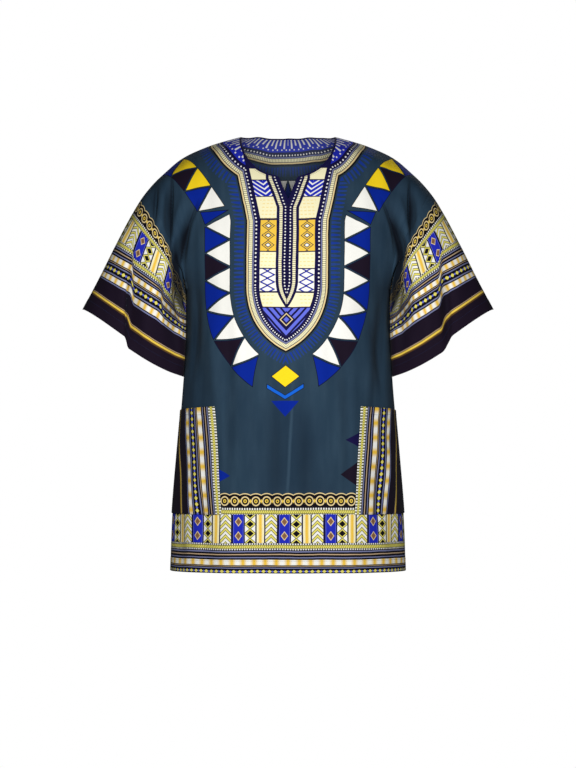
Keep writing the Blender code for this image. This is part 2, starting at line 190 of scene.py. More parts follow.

# Smaller creases than the part's, as troughs (minus) and ridges (plus). Bend bows the crease sideways, and
# the two spreads are its half widths on the side of the centre line and on the outer side.
# Troughs also darken the cloth's colour with painted shade, by their depth.
FRONT_CREASES = (  # side, out, down, end out, end down, bend, height, inner spread, outer spread
    (-1, 0.152, 0.106, 0.191, 0.246, 0.006, -0.0110, 0.0035, 0.015),
    (-1, 0.203, 0.054, 0.204, 0.212, 0.000, -0.0120, 0.0028, 0.010),
    (-1, 0.229, 0.076, 0.233, 0.166, 0.002, -0.0080, 0.004, 0.009),
    (-1, 0.178, 0.096, 0.198, 0.200, 0.004, 0.0045, 0.012, 0.006),
    (-1, 0.169, 0.150, 0.184, 0.236, 0.002, -0.0050, 0.004, 0.010),
    (-1, 0.2710, 0.180, 0.2830, 0.400, 0.002, -0.0085, 0.014, 0.0035),
    (-1, 0.2610, 0.195, 0.2730, 0.400, 0.002, 0.0040, 0.008, 0.010),
    (-1, 0.2280, 0.210, 0.2080, 0.345, 0.000, -0.0055, 0.012, 0.004),
    (-1, 0.204, 0.225, 0.194, 0.410, 0.000, -0.0070, 0.006, 0.014),
    (-1, 0.162, 0.250, 0.168, 0.440, -0.003, -0.0070, 0.010, 0.005),
    (-1, 0.129, 0.300, 0.118, 0.500, 0.004, 0.0045, 0.010, 0.010),
    (-1, 0.100, 0.340, 0.104, 0.660, 0.003, -0.0045, 0.012, 0.006),
    (-1, 0.020, 0.420, 0.018, 0.700, 0.002, -0.0058, 0.012, 0.018),
    (-1, 0.176, 0.500, 0.184, 0.780, 0.003, -0.0035, 0.008, 0.010),
    (-1, 0.142, 0.560, 0.146, 0.760, 0.003, -0.0030, 0.008, 0.006),
    (1, 0.002, 0.440, 0.002, 0.700, 0.000, 0.0022, 0.0022, 0.0022),
    (1, 0.160, 0.106, 0.198, 0.236, 0.006, -0.0110, 0.0035, 0.015),
    (1, 0.212, 0.072, 0.212, 0.196, 0.000, -0.0130, 0.0028, 0.010),
    (1, 0.188, 0.094, 0.205, 0.190, 0.003, 0.0045, 0.010, 0.006),
    (1, 0.176, 0.140, 0.190, 0.232, 0.003, -0.0050, 0.004, 0.010),
    (1, 0.2680, 0.190, 0.2800, 0.400, 0.002, -0.0085, 0.016, 0.005),
    (1, 0.2580, 0.200, 0.2690, 0.400, 0.002, 0.0038, 0.008, 0.010),
    (1, 0.2160, 0.220, 0.2080, 0.345, 0.000, -0.0055, 0.012, 0.004),
    (1, 0.203, 0.230, 0.193, 0.410, 0.000, -0.0070, 0.006, 0.014),
    (1, 0.168, 0.256, 0.162, 0.465, -0.003, -0.0070, 0.010, 0.005),
    (1, 0.136, 0.310, 0.134, 0.520, 0.003, 0.0045, 0.010, 0.010),
    (1, 0.092, 0.330, 0.098, 0.700, 0.004, -0.0045, 0.010, 0.008),
    (1, 0.024, 0.430, 0.030, 0.700, 0.002, -0.0054, 0.014, 0.016),
    (1, 0.166, 0.520, 0.176, 0.650, 0.004, 0.0035, 0.008, 0.010),
    (1, 0.150, 0.540, 0.152, 0.700, 0.003, -0.0035, 0.008, 0.007),
    # These two run down between the sleeve and the body. Where front and back meet they hardly move the
    # cloth, so there they mostly lay painted shade.
    (-1, 0.200, 0.180, 0.178, 0.345, 0.000, -0.0170, 0.005, 0.012),
    (1, 0.197, 0.176, 0.177, 0.345, 0.000, -0.0170, 0.005, 0.012),
)
BACK_CREASES = (  # the same columns, seen from the back
    (-1, 0.146, 0.150, 0.186, 0.250, 0.006, -0.0090, 0.005, 0.014),
    (-1, 0.170, 0.126, 0.196, 0.214, 0.004, 0.0040, 0.010, 0.006),
    (-1, 0.206, 0.070, 0.205, 0.200, 0.000, -0.0090, 0.0035, 0.010),
    (-1, 0.266, 0.205, 0.280, 0.395, 0.002, -0.0070, 0.014, 0.004),
    (-1, 0.158, 0.270, 0.160, 0.480, -0.003, -0.0060, 0.010, 0.006),
    (-1, 0.100, 0.350, 0.092, 0.780, 0.005, 0.0045, 0.012, 0.012),
    (-1, 0.036, 0.300, 0.030, 0.640, 0.002, -0.0045, 0.010, 0.012),
    (-1, 0.090, 0.130, 0.132, 0.236, 0.006, -0.0050, 0.006, 0.014),
    (1, 0.150, 0.146, 0.188, 0.244, 0.006, -0.0090, 0.005, 0.014),
    (1, 0.201, 0.068, 0.206, 0.186, 0.000, -0.0090, 0.0035, 0.010),
    (1, 0.272, 0.215, 0.279, 0.395, 0.002, -0.0065, 0.014, 0.004),
    (1, 0.162, 0.280, 0.156, 0.510, -0.003, -0.0060, 0.010, 0.006),
    (1, 0.098, 0.380, 0.108, 0.800, 0.004, 0.0045, 0.012, 0.012),
    (1, 0.030, 0.420, 0.038, 0.790, 0.003, -0.0045, 0.012, 0.010),
    (1, 0.094, 0.140, 0.138, 0.240, 0.006, -0.0050, 0.006, 0.014),
    (-1, 0.1750, 0.215, 0.1770, 0.460, 0.000, 0.0060, 0.012, 0.012),
    (1, 0.1750, 0.215, 0.1785, 0.480, 0.000, 0.0080, 0.012, 0.012),
)
# Painted shade: crease troughs are darkened in the cloth's colour, more the deeper they are, and sharp ones
# get a thin dark line at their foot.
DEEP_CREASE = 0.012  # a crease this deep gets the full painted shade at its foot
CREASE_POWER = 1.6
CREASE_TAPER = 1.5
SHARP_SPREAD = 0.0045  # a crease no wider than this on one side gets a thin painted shade line along its foot
FOOT_REACH = 0.009
# Where the sleeves' bands step down at a fold.
# The side is +1 for the left sleeve's front and the right one's back.
SLEEVE_STEPS = (  # side, around and height at the top, around and height at the foot, drop, half widths, end
    (-1, 0.073, 0.113, 0.112, 0.020, 0.0135, 0.006, 0.007, -0.060),
    (-1, 0.146, 0.120, 0.156, 0.050, 0.0070, 0.006, 0.010, 0.050),
    (1, 0.083, 0.108, 0.118, 0.015, 0.0145, 0.009, 0.014, -0.060),
    (1, 0.156, 0.130, 0.166, 0.060, 0.0060, 0.008, 0.013, 0.050),
)
STEP_END = 0.040  # a step grows to its full drop this far above its end
STEP_FADE = (0.120, 0.190)  # heights above the cuff between which the steps die out
CUFF_LIFT = 0.0075  # how far the cuff's edge is drawn up in the middle of its front and of its back
CUFF_LIFT_REACH = 0.036
# The cloth's slight unevenness: wave lengths across, from front to back and up, phase, and height.
RIPPLES = (
    (0.046, 0.210, 0.900, 0.7, 0.00050),
    (0.029, -0.170, 0.470, 2.1, 0.00034),
    (0.083, 0.300, -0.620, 4.0, 0.00085),
    (0.190, 0.090, 0.155, 1.1, 0.00060),
)

# How much nearer the body the sleeve's inner edge hangs, as a share of how far forward it is.
EDGE_TUCK = 0.12

RIM_BULGE = 0.4  # how far an edge is rounded out, as a share of the thickness
ISLAND_MARGIN = 0.004
RIM_STRIPS = 0.012  # height of the strips that the rims are baked in
RIM_STRIP_SHARES = (0.15, 0.75)  # foot and head of a strip in its own half

CAMERA_DISTANCE = 8.0
CAMERA_HEIGHT = -0.432
VIEW_HEIGHT = 1.344  # how high a part of the scene the camera sees at the origin
FLOOR = -1.45
FLOOR_REACH = 3.6
FLOOR_SIDES = 96
SURROUND_LIGHT = 0.07
SURROUND_TINT = (0.72, 0.86, 1.0, 1.0)
FLOOR_FINISH = {"Base Color": (0.86, 0.86, 0.86, 1), "Roughness": 0.9}

# ---- sizes of the print, in millimetres of cloth
# In a tuple a middle comes first, then a half width or a limit, then how soft the edge is. HALVES are a
# motif's half width and half height. A lozenge measures 0 at its middle and 1 at its edge.
# The border at the cuffs, pockets and hem, by height above a cuff's edge.
PLAIN_FOOT = 62.0
DASH_PITCH = 13.4
LONG_DASH_PITCH = 25.0
HEM_DASH_PITCH = 19.5
AMBER_SHARE, AMBER_SOFT = 0.22, 0.3  # shares of the dashes' pitch
CHAIN_MIDDLE = 85.0
CHAIN_PITCH = 10.5
BEAD_SOFT = 0.12
CORD_PITCH = 3.4
CORD_SLANT = 0.5
CORD_LINE = 0.6
RUNG_FROM, RUNG_SOFT = 0.36, 0.2  # shares of a cord's pitch
TICK_PITCH = 4.4
TICK_SHARE = 0.27  # half of a tick, as a share of the pitch
PANEL_MIDDLE = 159.0
PANEL_HALF = 22.5
PANEL_PERIOD = 80.0
CHEVRON_SLOPE = 0.9
CHEVRON_PITCH = 11.0
SPOT_LINE = 8.1
SPOT_HALVES = (6.2, 7.4)
SPOT_SOFT = 0.08
GLASS_PITCH = 15.0
GLASS_SLOPE = 1.25
PLAIN_GLOW = (2.88, 3.0)
RING_MIDDLE = 202.5
RING_ROW_HALF = 10.5
RING_PITCH = 18.5
RING_LINE = (6.7, 1.0)
SPARK_HALVES = (2.0, 3.4)
SPARK_SOFT = 0.2
BORDER_TOP = 214.5
SCALLOP_DEPTH = 2.6
SCALLOP_LINE = 0.8
HEM_CORD = -712.2  # where the border's lower cord runs on the body
HEM_SCALE = 0.914  # border heights for a millimetre of cloth, above that cord
HEM_FOOT_SCALE = 1.02  # and below it
HEM_TAIL = 31.5  # this far below the cord the print is drawn in, to end above the hem
HEM_TAIL_SCALE = 0.26
POCKET_START = 136.5
POCKET_EDGE = 0.4  # the nearest that the unsteady print comes to the pocket's edge
POCKET_FLARE = 0.00080  # the pocket's stripes crowd together towards its foot
POCKET_EVEN = -545.0
POCKET_TICKS = (1.8, 10.0)
POCKET_TICK_HALF = 1.7
POCKET_TICK_PITCH = 5.0
POCKET_TICK_SHARE = 0.25

# The yoke: the printed panel round the neck, with a tongue down the front that ends in a pointed arch.
TONGUE_HALF = 73.3
FLARE = 0.21
FLARE_MOST = 27.0
FLARE_FROM = -148.0
SPRING = -262.0
ARCH_RADIUS = 129.0
COLLAR_WIDTH = 54.0
COLLAR_FULL_TURN = 86.0  # degrees from the front: nearer the front the collar narrows
COLLAR_NARROWING = 0.58
COLLAR_OVERLAP = 3.5
YOKE_BAND = 24.5
YOKE_CORD = (-9.4, 2.9)
YOKE_CORD_PITCH = 3.6
BAND_PER_DEGREE = 2.2
DOT_PITCH = 7.0
DOT_MIDDLE = -18.6
DOT_RADIUS = 1.5

# The bars and triangles round the yoke.
RING_REACH = 49.0
MARK_PITCH = 7.333
RIM_PER_DEGREE = 2.6
RIM_TAPER, RIM_HALF = -0.09, 2.9
RIM_SOFT = 0.9
TEETH_FROM = 28.0
TEETH_HEIGHT = 46.0
TEETH_HALF = 21.0
DARK_TEETH_HEIGHT = 50.0
DARK_TEETH_SLOPE = 0.467
TEETH_GAP = 4.0
TEETH_PITCH = 47.0
TEETH_LINE = 1.1
TEETH_FIRST = 103.0
TEETH_RUN = 5 * TEETH_PITCH
TEETH_WEDGE = ((108.0, -130.5), (151.0, -155.0), (160.0, -134.0))
TEETH_PER_DEGREE = 3.1
BACK_TEETH_TURN = 97.0  # degrees from the front
SHOULDER_ROW = (112.0, -124.0)
SHOULDER_ROW_LEAN = 56.0  # degrees

# The collar's strokes, and the blocks down the tongue.
STROKE_PER_DEGREE = 1.9
STROKE_PITCH = 10.4
STROKE_HALF = (1.9, 0.7)
STROKE_START = 7.0
STROKE_SHORTER = 6.5  # where every second stroke starts later
STROKE_DOT_IN = 4.6
STROKE_DOT_SOFT = 0.6
SLIT_FOOT = -123.5
SLIT_SLOPE = 0.349
PRINT_LEAN = 0.0145  # the print runs a little towards the wearer's right below the slit
PLACKET_HALF = 18.0
PLACKET_TAPER = -253.0
PLACKET_CLOSING = 0.0081
PLACKET_TIP = -300.0
PLACKET_CORD = (12.0, 2.6)
PLACKET_DOT_PITCH = 5.6
PLACKET_DOT_OUT = 4.4
PLACKET_DOT_RADIUS = 1.25
PLACKET_LINE = 0.5
BLOCK_MIDDLE = 33.7
BLOCK_SHIFT = 0.6  # how much of the slit's opening the blocks move out by
BLOCK_BORDER = 1.6
CHEVRON_BLOCK = (-88.0, 15.0)
CHEVRON_BLOCK_SLOPE = -0.8
CHEVRON_BLOCK_PITCH = 9.0
CHEVRON_BLOCK_LINE = 1.5
TICK_BLOCKS = ((-124.0, 19.5), (-218.0, 14.0), (-287.0, 12.0))
TICK_ROW_PITCH = 6.5
TICK_ROW_HALF = (0.8, 0.8)
TICK_ROW_RUN = 7.0
TICK_GAP = (1.3, 0.8)
TICK_LEAN = 0.15
TICK_REACH = (12.0, 1.0)
TICK_STRENGTH = 0.55
DIAMOND_BLOCK = (-174.5, 27.5)
DIAMOND_PITCH = 17.0
DIAMOND_HALVES = (11.5, 8.5)
DIAMOND_STEP = 0.17
DIAMOND_LINE = (0.85, 0.12)
HARD_EDGE = 0.05
GLASS_BLOCK = (-253.0, 19.0)
GLASS_BLOCK_PITCH = 12.5
GLASS_BLOCK_SLOPE = -2.0
TIP_TOP = -301.0
VEE_SLOPE = -1.1
VEE_PITCH = 13.0
VEE_HALF = 2.5
GEM_MIDDLE = -321.0
GEM_HALF = 15.0
GEM_LINE = (0.7, 0.07, 0.05)
GEM_HEART = 0.34
GEM_SOFT = 0.06

# The kite below the tongue, and the marks beside the pockets.
KITE_MIDDLE = -419.0
KITE_HALVES = (23.0, 18.0)
KITE_SOFT = 0.03
BAR_FOOT = -455.0
BAR_SLOPE = -0.62
WEDGE_FOOT = -488.0
WEDGE_HEIGHT = 27.0
WEDGE_SLOPE = 0.88
MARK_REACH = 24.0
MARK_TUCK = 34.0

# The pressed fold down the middle of the front, with painted shade in the hollow on both sides.
PRESS_LEAN = 0.05
PRESS_FOOT = -602.0
PRESS_RUN = (-545.0, 88.0, 60.0)
PRESS_LINE = (1.7, 3.4)
PRESS_STRENGTH = 0.85
# Painted shade in the shallow hollow on both sides of the fold: its half width and softness, the gap it
# leaves at the line, and its strength.
PRESS_SHADE_BAND = (34.0, 54.4)
PRESS_CLEAR = (3.0, 2.0)
PRESS_SHADE_STRENGTH = 0.5

PRINT_EDGE = 0.35  # how soft a printed edge is
UNSTEADY = 1.7
UNSTEADY_NOISE = {"Scale": 15.0, "Detail": 5.0, "Roughness": 0.55}
CLOUD_CONTRAST = (3.0, -1.1)  # slope and start, by the noise

# ---- finish of the cotton, with the shade painted into its creases
# Painted shade in the creases: how dark the troughs get, and the half width, softness and strength of the
# thin painted dark line at a sharp crease's foot.
CREASE_SHADE = 0.94
FOOT_HALF = 1.0  # millimetres
FOOT_SOFT = 2.4  # millimetres
FOOT_SHADE = 0.98
THREAD = 0.00055  # pitch of the weave
SLUB_NOISE = {"Scale": 900.0, "Detail": 3.0}
SLUB_HEIGHT = 1.2
WEAVE_SHADE = (-0.10, 0.16)  # slope and start, by the weave's height
WEAVE_BUMP = {"Strength": 0.35, "Distance": 0.00025}
FAINT_SCALE = 300.0
FAINT_SHARE = (0.2, 0.14)  # slope and start, by the noise
COTTON_FINISH = {"Roughness": 0.8, "Specular IOR Level": 0.06, "Sheen Weight": 0.015, "Sheen Roughness": 0.5}

# ---- sizes of the sewing
BINDING_SIDES = 14
BINDING_STEP = 0.003
BINDING_ROUNDNESS = 0.7
BINDING_GIRTH = 2.4 * BINDING_WIDTH
BINDING_EASED_OUT = 0.076  # further out than this, the binding runs round the corner in a curve
BINDING_EASINGS = 8
STITCH_PITCH = 0.0032
STITCH_LENGTH = 0.0024
STITCH_WIDTH = 0.0004
STITCH_RISE = 0.0001
STITCH_SIDES = 5
STITCH_IN = 0.0015  # from a turned or a sewn edge
STITCH_CELL = ((0.1, 0.1), (0.9, 0.1), (0.9, 0.9), (0.1, 0.9))
NECK_STITCH_OUT = 0.0024

LIGHTS = (  # name, place, aim, size, power
    ("key", (-0.01, -1.35, -0.22), (0.0, 0.0, -0.30), 0.35, 16.5),
    ("fill", (0.12, -2.6, 0.10), (0.0, 0.0, -0.40), 0.9, 8.0),
    ("back_light", (0.4, 3.2, 1.6), (0.0, 0.0, -0.30), 2.0, 62.0),
)


# ---- curves
def read(table, column, key):
    """A table's column at any value of its first column, on a smooth curve through the rows."""
    keys = np.array([row[0] for row in table])
    values = np.array([row[column] for row in table])
    slopes = np.gradient(values, keys)
    first = np.clip(np.searchsorted(keys, key) - 1, 0, len(keys) - 2)
    span = keys[first + 1] - keys[first]
    t = (key - keys[first]) / span
    start = (2 * t**3 - 3 * t**2 + 1) * values[first] + (t**3 - 2 * t**2 + t) * span * slopes[first]
    end = (3 * t**2 - 2 * t**3) * values[first + 1] + (t**3 - t**2) * span * slopes[first + 1]
    return start + end


def drawn(rows, samples=16):
    """Dense points on a smooth curve through a table's rows."""
    places = np.array(rows)
    steps = lengths(places)
    keyed = [(step, *place) for step, place in zip(steps, places)]
    at = np.linspace(0.0, steps[-1], samples * len(rows))
    return np.stack([read(keyed, 1 + axis, at) for axis in range(places.shape[1])], axis=1)


def lengths(points):
    """The distance along a line of points from its first one."""
    return np.concatenate([[0.0], np.cumsum(np.linalg.norm(np.diff(points, axis=0), axis=1))])


def between(run, table, places):
    """A table's columns at places along its run."""
    return np.stack([np.interp(places, run, column) for column in table.T], axis=-1)


def at_distance(points, distance):
    """The places at these distances along a line of points."""
    return between(lengths(points), points, distance)


def at_share(points, share):
    """The places at these shares of a line's length."""
    return at_distance(points, np.asarray(share) * lengths(points)[-1])


def smooth(value, start, end):
    """0 before the start, 1 after the end, and an even rise between."""
    share = np.clip((value - start) / (end - start), 0, 1)
    return share**2 * (3 - 2 * share)


def unit(vectors):
    """The same directions, each with a length of 1."""
    return vectors / (np.linalg.norm(vectors, axis=-1, keepdims=True) + TINY)


def faced(normals, outward):
    """Normals turned over, all together, if most of them point against the outward directions."""
    return normals * np.sign(np.median(np.sum(normals * outward, axis=-1)))


SHOULDER = drawn(SHOULDER_LINE)
INNER = drawn(INNER_EDGE)
MIDDLES = {-1: drawn(FRONT_MIDDLE), 1: drawn(BACK_MIDDLE)}


# ---- surface of the cloth
# Facing is -1 for the front of the shirt and +1 for its back. Unfolded points are on the wearer's left.
def ring(share, facing, shares_round):
    """Points round half a sleeve ring, from the top fold to the inner edge."""
    top = at_distance(SHOULDER, PANEL_HALF_TOP + share * SLEEVE_LENGTH)
    inner = at_share(INNER, read(SLEEVE_RINGS, 1, share))
    depth = read(SLEEVE_RINGS, 3 if facing < 0 else 4, share)
    forward = read(SLEEVE_RINGS, 5, share)
    middle = (top + inner) / 2
    half = (top - inner) / 2
    back_up = np.array([-half[1], half[0]]) / np.linalg.norm(half)
    bow = read(SLEEVE_RINGS, 2, share)
    turn = np.linspace(0.0, math.pi, CURVE_SAMPLES)
    lift = bow * np.sin(turn) ** 2 * (1 - BOW_SKEW * np.cos(turn))
    flat = middle + np.outer(np.cos(turn), half) - np.outer(lift, back_up)
    away = facing * depth * np.sin(turn) - forward
    return at_share(np.stack([flat[:, 0], away, -flat[:, 1]], axis=1), shares_round)


def section(down, facing, shares):
    """Points along half a level section of the body, from its middle to the side seam."""
    half_width = read(BODY_SECTIONS, 1, down)
    depth = read(BODY_SECTIONS, 2 if facing < 0 else 3, down)
    turn = np.linspace(0.0, math.pi / 2, CURVE_SAMPLES)
    out = half_width * np.sin(turn) ** (2 / SECTION_ROUNDNESS)
    away = facing * depth * np.cos(turn) ** (2 / SECTION_ROUNDNESS)
    return at_share(np.stack([out, away, np.full_like(out, -down)], axis=1), shares)


def middle_line(facing, falls):
    """Points down the upper middle of the front or the back."""
    line = at_share(MIDDLES[facing], falls)
    return np.stack([np.zeros_like(line[..., 0]), facing * line[..., 0], -line[..., 1]], axis=-1)


def armhole(facing, falls):
    """Points down the body's own edge of the armhole."""
    return ring(0.0, facing, falls)


def upper(facing, shares, falls):
    """Body points between the shoulder line and the armpit, for shares of the half width and of the fall.

    The straight sheet between the shoulder line and the chest swells with the middle line and the armhole.
    """
    shoulder = at_distance(SHOULDER, shares * PANEL_HALF_TOP)
    top = np.stack([shoulder[..., 0], np.zeros_like(shares), -shoulder[..., 1]], axis=-1)
    foot = section(ARMPIT_DOWN, facing, shares)
    fall = falls[..., None]

    def swell(line):
        ends = line(facing, np.array([0.0, 1.0]))
        return line(facing, falls) - (1 - fall) * ends[0] - fall * ends[1]

    near_edge = (shares**ARMHOLE_REACH)[..., None]
    sheet = (1 - fall) * top + fall * foot
    return sheet + (1 - near_edge) * swell(middle_line) + near_edge * swell(armhole)


def beside_crease(points, side, out, down, end_out, end_down, bend=0.0):
    """How far across from a crease each point shows in the front or back view, and how full the crease is.

    A crease is full at its middle. The fullness falls to 0 at its ends and is negative beyond them.
    """
    start = np.array([side * out, -down])
    line = np.array([side * end_out, -end_down]) - start
    away = points[..., [0, 2]] - start
    share = away @ line / (line @ line)
    fullness = 4 * share * (1 - share)
    across = (away[..., 1] * line[0] - away[..., 0] * line[1]) * side / np.linalg.norm(line)
    return across - bend * fullness, fullness


def crease_push(points, creases):
    """How far a table's creases push each point out."""
    push = np.zeros(points.shape[:-1])
    for *place, height, inner, outer in creases:
        across, fullness = beside_crease(points, *place)
        spread = inner + (outer - inner) * smooth(across, -inner / 2, outer / 2)
        push += height * np.clip(fullness, 0, 1) ** CREASE_TAPER * np.exp(-((across / spread) ** 2))
    return push


def painted_crease_shade(points, out):
    """How much painted shade each point of the cloth gets for lying deep in a crease, from 0 to 1."""
    front, back = (crease_push(points, creases) for creases in (FRONT_CREASES, BACK_CREASES))
    push = np.where(out[..., 1] < 0, front, back)
    return np.clip(-push / DEEP_CREASE, 0, 1) ** CREASE_POWER


def painted_crease_line(points, out):
    """Each point's distance from the foot of the nearest sharp crease, and the strength of a thin painted
    shade line there, by how deep that crease is.
    """
    nearest = np.full(points.shape[:-1], FOOT_REACH)
    depth = np.zeros(points.shape[:-1])
    for creases, facing in ((FRONT_CREASES, -1), (BACK_CREASES, 1)):
        for *place, height, inner, outer in creases:
            if height > 0 or min(inner, outer) > SHARP_SPREAD:
                continue
            across, fullness = beside_crease(points, *place)
            on_side = (out[..., 1] * facing > 0) & (fullness > 0)
            nearer = on_side & (np.abs(across) < np.abs(nearest))
            nearest = np.where(nearer, across, nearest)
            depth = np.where(nearer, np.minimum(-height / DEEP_CREASE, 1) ** 2 * fullness, depth)
    depth *= 1 - smooth(np.abs(nearest), FOOT_REACH / 2, FOOT_REACH)
    return np.stack([nearest, depth], axis=-1)


def fold_push(points, folds):
    """How far the part's own folds push each point out."""
    push = np.zeros(points.shape[:-1])
    for *place, height, spread in folds:
        across, fullness = beside_crease(points, *place)
        push += height * np.clip(fullness + FOLD_END, 0, 1) ** 2 * np.exp(-((across / spread) ** 2))
    return push


def ripple(points):
    """The cloth's slight unevenness: long shallow waves, mostly upright."""
    x, y, z = (points[..., axis] for axis in range(3))
    push = np.zeros(points.shape[:-1])
    for across, deep, high, phase, height in RIPPLES:
        push += height * np.sin(math.tau * (x / across + y / deep + z / high) + phase)
    return push


def folded(points, facing, normals, meet=0.0):
    """Pushes points out by the folds, and not at all where front and back meet."""
    folds, creases = (FRONT_FOLDS, FRONT_CREASES) if facing < 0 else (BACK_FOLDS, BACK_CREASES)
    moved = points.copy()
    moved[..., 1] += facing * fold_push(points, folds) * smooth(np.abs(points[..., 1]), 0, FOLD_FREE)
    small = crease_push(points, creases) + ripple(points)
    small *= smooth(np.abs(points[..., 1] - meet), *CREASE_FREE)
    return moved + normals(moved, facing) * small[..., None]


def grid_normals(points):
    """Normals of a grid by the turn from its rows to its columns, whichever way they face."""
    return unit(np.cross(np.gradient(points, axis=0), np.gradient(points, axis=1)))


def normals_of(points, facing):
    """Unit normals of a grid of points, away from the body."""
    return faced(grid_normals(points), (0, facing, 0))


def tube_normals(grid):
    """Normals of a grid that closes round on itself, away from its middle."""
    wrapped = np.concatenate([grid[:, -2:-1], grid, grid[:, 1:2]], axis=1)
    normals = unit(np.cross(np.gradient(grid, axis=0), np.gradient(wrapped, axis=1)[:, 1:-1]))
    return faced(normals, grid - grid.mean(axis=1, keepdims=True))


def panel_normals(points, facing):
    """A panel's normals, from the places beside each point that are as far from the shoulder.

    At the neck a panel's columns start at very uneven distances, so its rows say nothing there.
    """
    from_shoulder = np.maximum.accumulate(facing * points[..., 1] - points[..., 2], axis=0)
    across = np.zeros_like(points)
    for column in range(points.shape[1]):
        own = from_shoulder[:, column]
        total = np.zeros((len(points), 1))
        for beside in (column - 1, column + 1):
            if not 0 <= beside < points.shape[1]:
                continue
            keys = from_shoulder[:, beside]
            place = between(keys, points[:, beside], own)
            level = np.abs(np.clip(own, keys[0], keys[-1]) - own) < LEVEL_SLACK
            weight = np.where(level, 1, UNLEVEL_WEIGHT)[:, None]
            across[:, column] += (place - points[:, column]) * (beside - column) * weight
            total += weight
        across[:, column] /= total
    return faced(unit(np.cross(np.gradient(points, axis=0), across)), (0, facing, 0))


# ---- fine grids of the cut pieces
def neck_cut(out):
    """The neck opening at this distance from the centre: its depth in front and its reach behind."""
    def round_share(share):
        return (1 - share**NECK_ROUNDNESS) ** (1 / NECK_ROUNDNESS)

    round_here = round_share(np.clip(out / NECK_HALF_WIDTH, 0, 1))
    corner = NECK_FRONT_DROP * round_share(SLIT_HALF_WIDTH / NECK_HALF_WIDTH)
    slit = SLIT_DOWN - (SLIT_DOWN - corner) * out / SLIT_HALF_WIDTH
    return np.maximum(NECK_FRONT_DROP * round_here, slit), NECK_BACK_REACH * round_here


def first_fall(facing, share):
    """The share of the fall at which a column starts: 0 on the shoulder, more where the neck is cut out."""
    if share > NECK_SHARE - TINY:
        return 0.0
    falls = np.linspace(0.0, 0.8, 641)
    line = upper(facing, np.full_like(falls, share), falls)
    front_depth, back_reach = neck_cut(line[:, 0])
    inside = -line[:, 2] - front_depth if facing < 0 else line[:, 1] - back_reach
    after = int(np.argmax(inside > 0))
    step = inside[after - 1] / (inside[after - 1] - inside[after])
    return falls[after - 1] + step * (falls[1] - falls[0])


def share_at(out):
    """The share of the panel's half width at which the shoulder line is this far out."""
    return np.interp(out, SHOULDER[:, 0], lengths(SHOULDER)) / PANEL_HALF_TOP


NECK_SHARE = share_at(NECK_HALF_WIDTH)
NECK_TURNS = np.linspace(math.asin(SLIT_HALF_WIDTH / NECK_HALF_WIDTH), math.pi / 2, NECK_COLUMNS + 1)
HALF_SHARES = np.concatenate(
    [
        np.linspace(0, share_at(SLIT_HALF_WIDTH), SLIT_COLUMNS + 1)[:-1],
        share_at(NECK_HALF_WIDTH * np.sin(NECK_TURNS)),
        np.linspace(NECK_SHARE, 1, OUTER_COLUMNS + 1)[1:],
    ]
)
LOWER_DOWNS = np.linspace(ARMPIT_DOWN, HEM_DOWN, LOWER_ROWS + 1)[1:]
NECK_REACH = SLIT_COLUMNS + NECK_COLUMNS
NECK_PART = slice(len(HALF_SHARES) - 1 - NECK_REACH, len(HALF_SHARES) + NECK_REACH)  # columns on the opening


def half_width(down, facing):
    """The cloth's length round half the front or the back, level with this height."""
    return lengths(section(down, facing, np.linspace(0, 1, CURVE_SAMPLES)))[-1]


def body_half(facing, shares, starts, downs):
    """Points of half a panel, unfolded, and their cloth coordinates, across and up."""
    falls = starts + (1 - starts) * np.linspace(0, 1, UPPER_ROWS + 1)[:, None]
    high = upper(facing, np.broadcast_to(shares, falls.shape), falls)
    low = np.stack([section(down, facing, shares) for down in downs])
    steps = np.linalg.norm(np.diff(high[::-1], axis=0), axis=-1)
    climb = np.concatenate([np.zeros((1, len(shares))), np.cumsum(steps, axis=0)])[::-1]
    widths = PANEL_HALF_TOP + (half_width(ARMPIT_DOWN, facing) - PANEL_HALF_TOP) * falls
    low_widths = np.array([half_width(down, facing) for down in downs])
    across = np.concatenate([shares * widths, shares * low_widths[:, None]])
    up = np.concatenate([climb - ARMPIT_DOWN, np.repeat(-downs[:, None], len(shares), axis=1)])
    return np.concatenate([high, low]), np.stack([across, up], axis=-1)


def both_halves(half, cloth, facing):
    """A panel's points and cloth coordinates, with columns from the wearer's right to their left."""
    points = np.concatenate([half[:, :0:-1] * (-1, 1, 1), half], axis=1)
    cloth = np.concatenate([cloth[:, :0:-1] * (-1, 1), cloth], axis=1)
    points = folded(points, facing, panel_normals)
    points[..., 1] += facing * SEAM_PART / 2
    return points, cloth


def panel_grid(facing):
    """The front's or the back's grid, from the shoulder down to the hem."""
    starts = np.array([first_fall(facing, share) for share in HALF_SHARES])
    half, cloth = body_half(facing, HALF_SHARES, starts, LOWER_DOWNS)
    return both_halves(half, cloth, facing)


def pocket_grid(side):
    """A patch pocket's grid on the front, and each point's distance from its inner edge and its height."""
    fall = np.linspace(1, 0, POCKET_ROWS + 1)
    reach = np.linspace(0, 1, POCKET_COLUMNS + 1)
    inner, outer = POCKET_SHARES
    shares = inner + (outer - inner) * reach + POCKET_EDGE_LEAN * np.outer(fall, (1 - reach) ** 2)
    tops = POCKET_TOP_DOWN + POCKET_TOP_LEAN * reach
    downs = tops + np.outer(1 - fall, POCKET_FOOT_DOWN - tops)
    places = [section(down, -1, share) for down, share in zip(downs.flat, shares.flat)]
    points = np.reshape(places, (*shares.shape, 3)) * (side, 1, 1)
    points = folded(points, -1, normals_of)
    points[..., 1] -= SEAM_PART / 2
    points += normals_of(points, -1) * POCKET_LIFT
    points[..., 1] -= POCKET_GAPE * np.outer(fall**3, np.sin(math.pi * reach))
    widths = np.array([half_width(down, -1) for down in downs[:, 0]])[:, None]
    cloth = np.stack([(shares - shares[:, :1]) * widths, -downs], axis=-1)
    if side < 0:
        points, cloth = points[:, ::-1], cloth[:, ::-1]
    return points, cloth


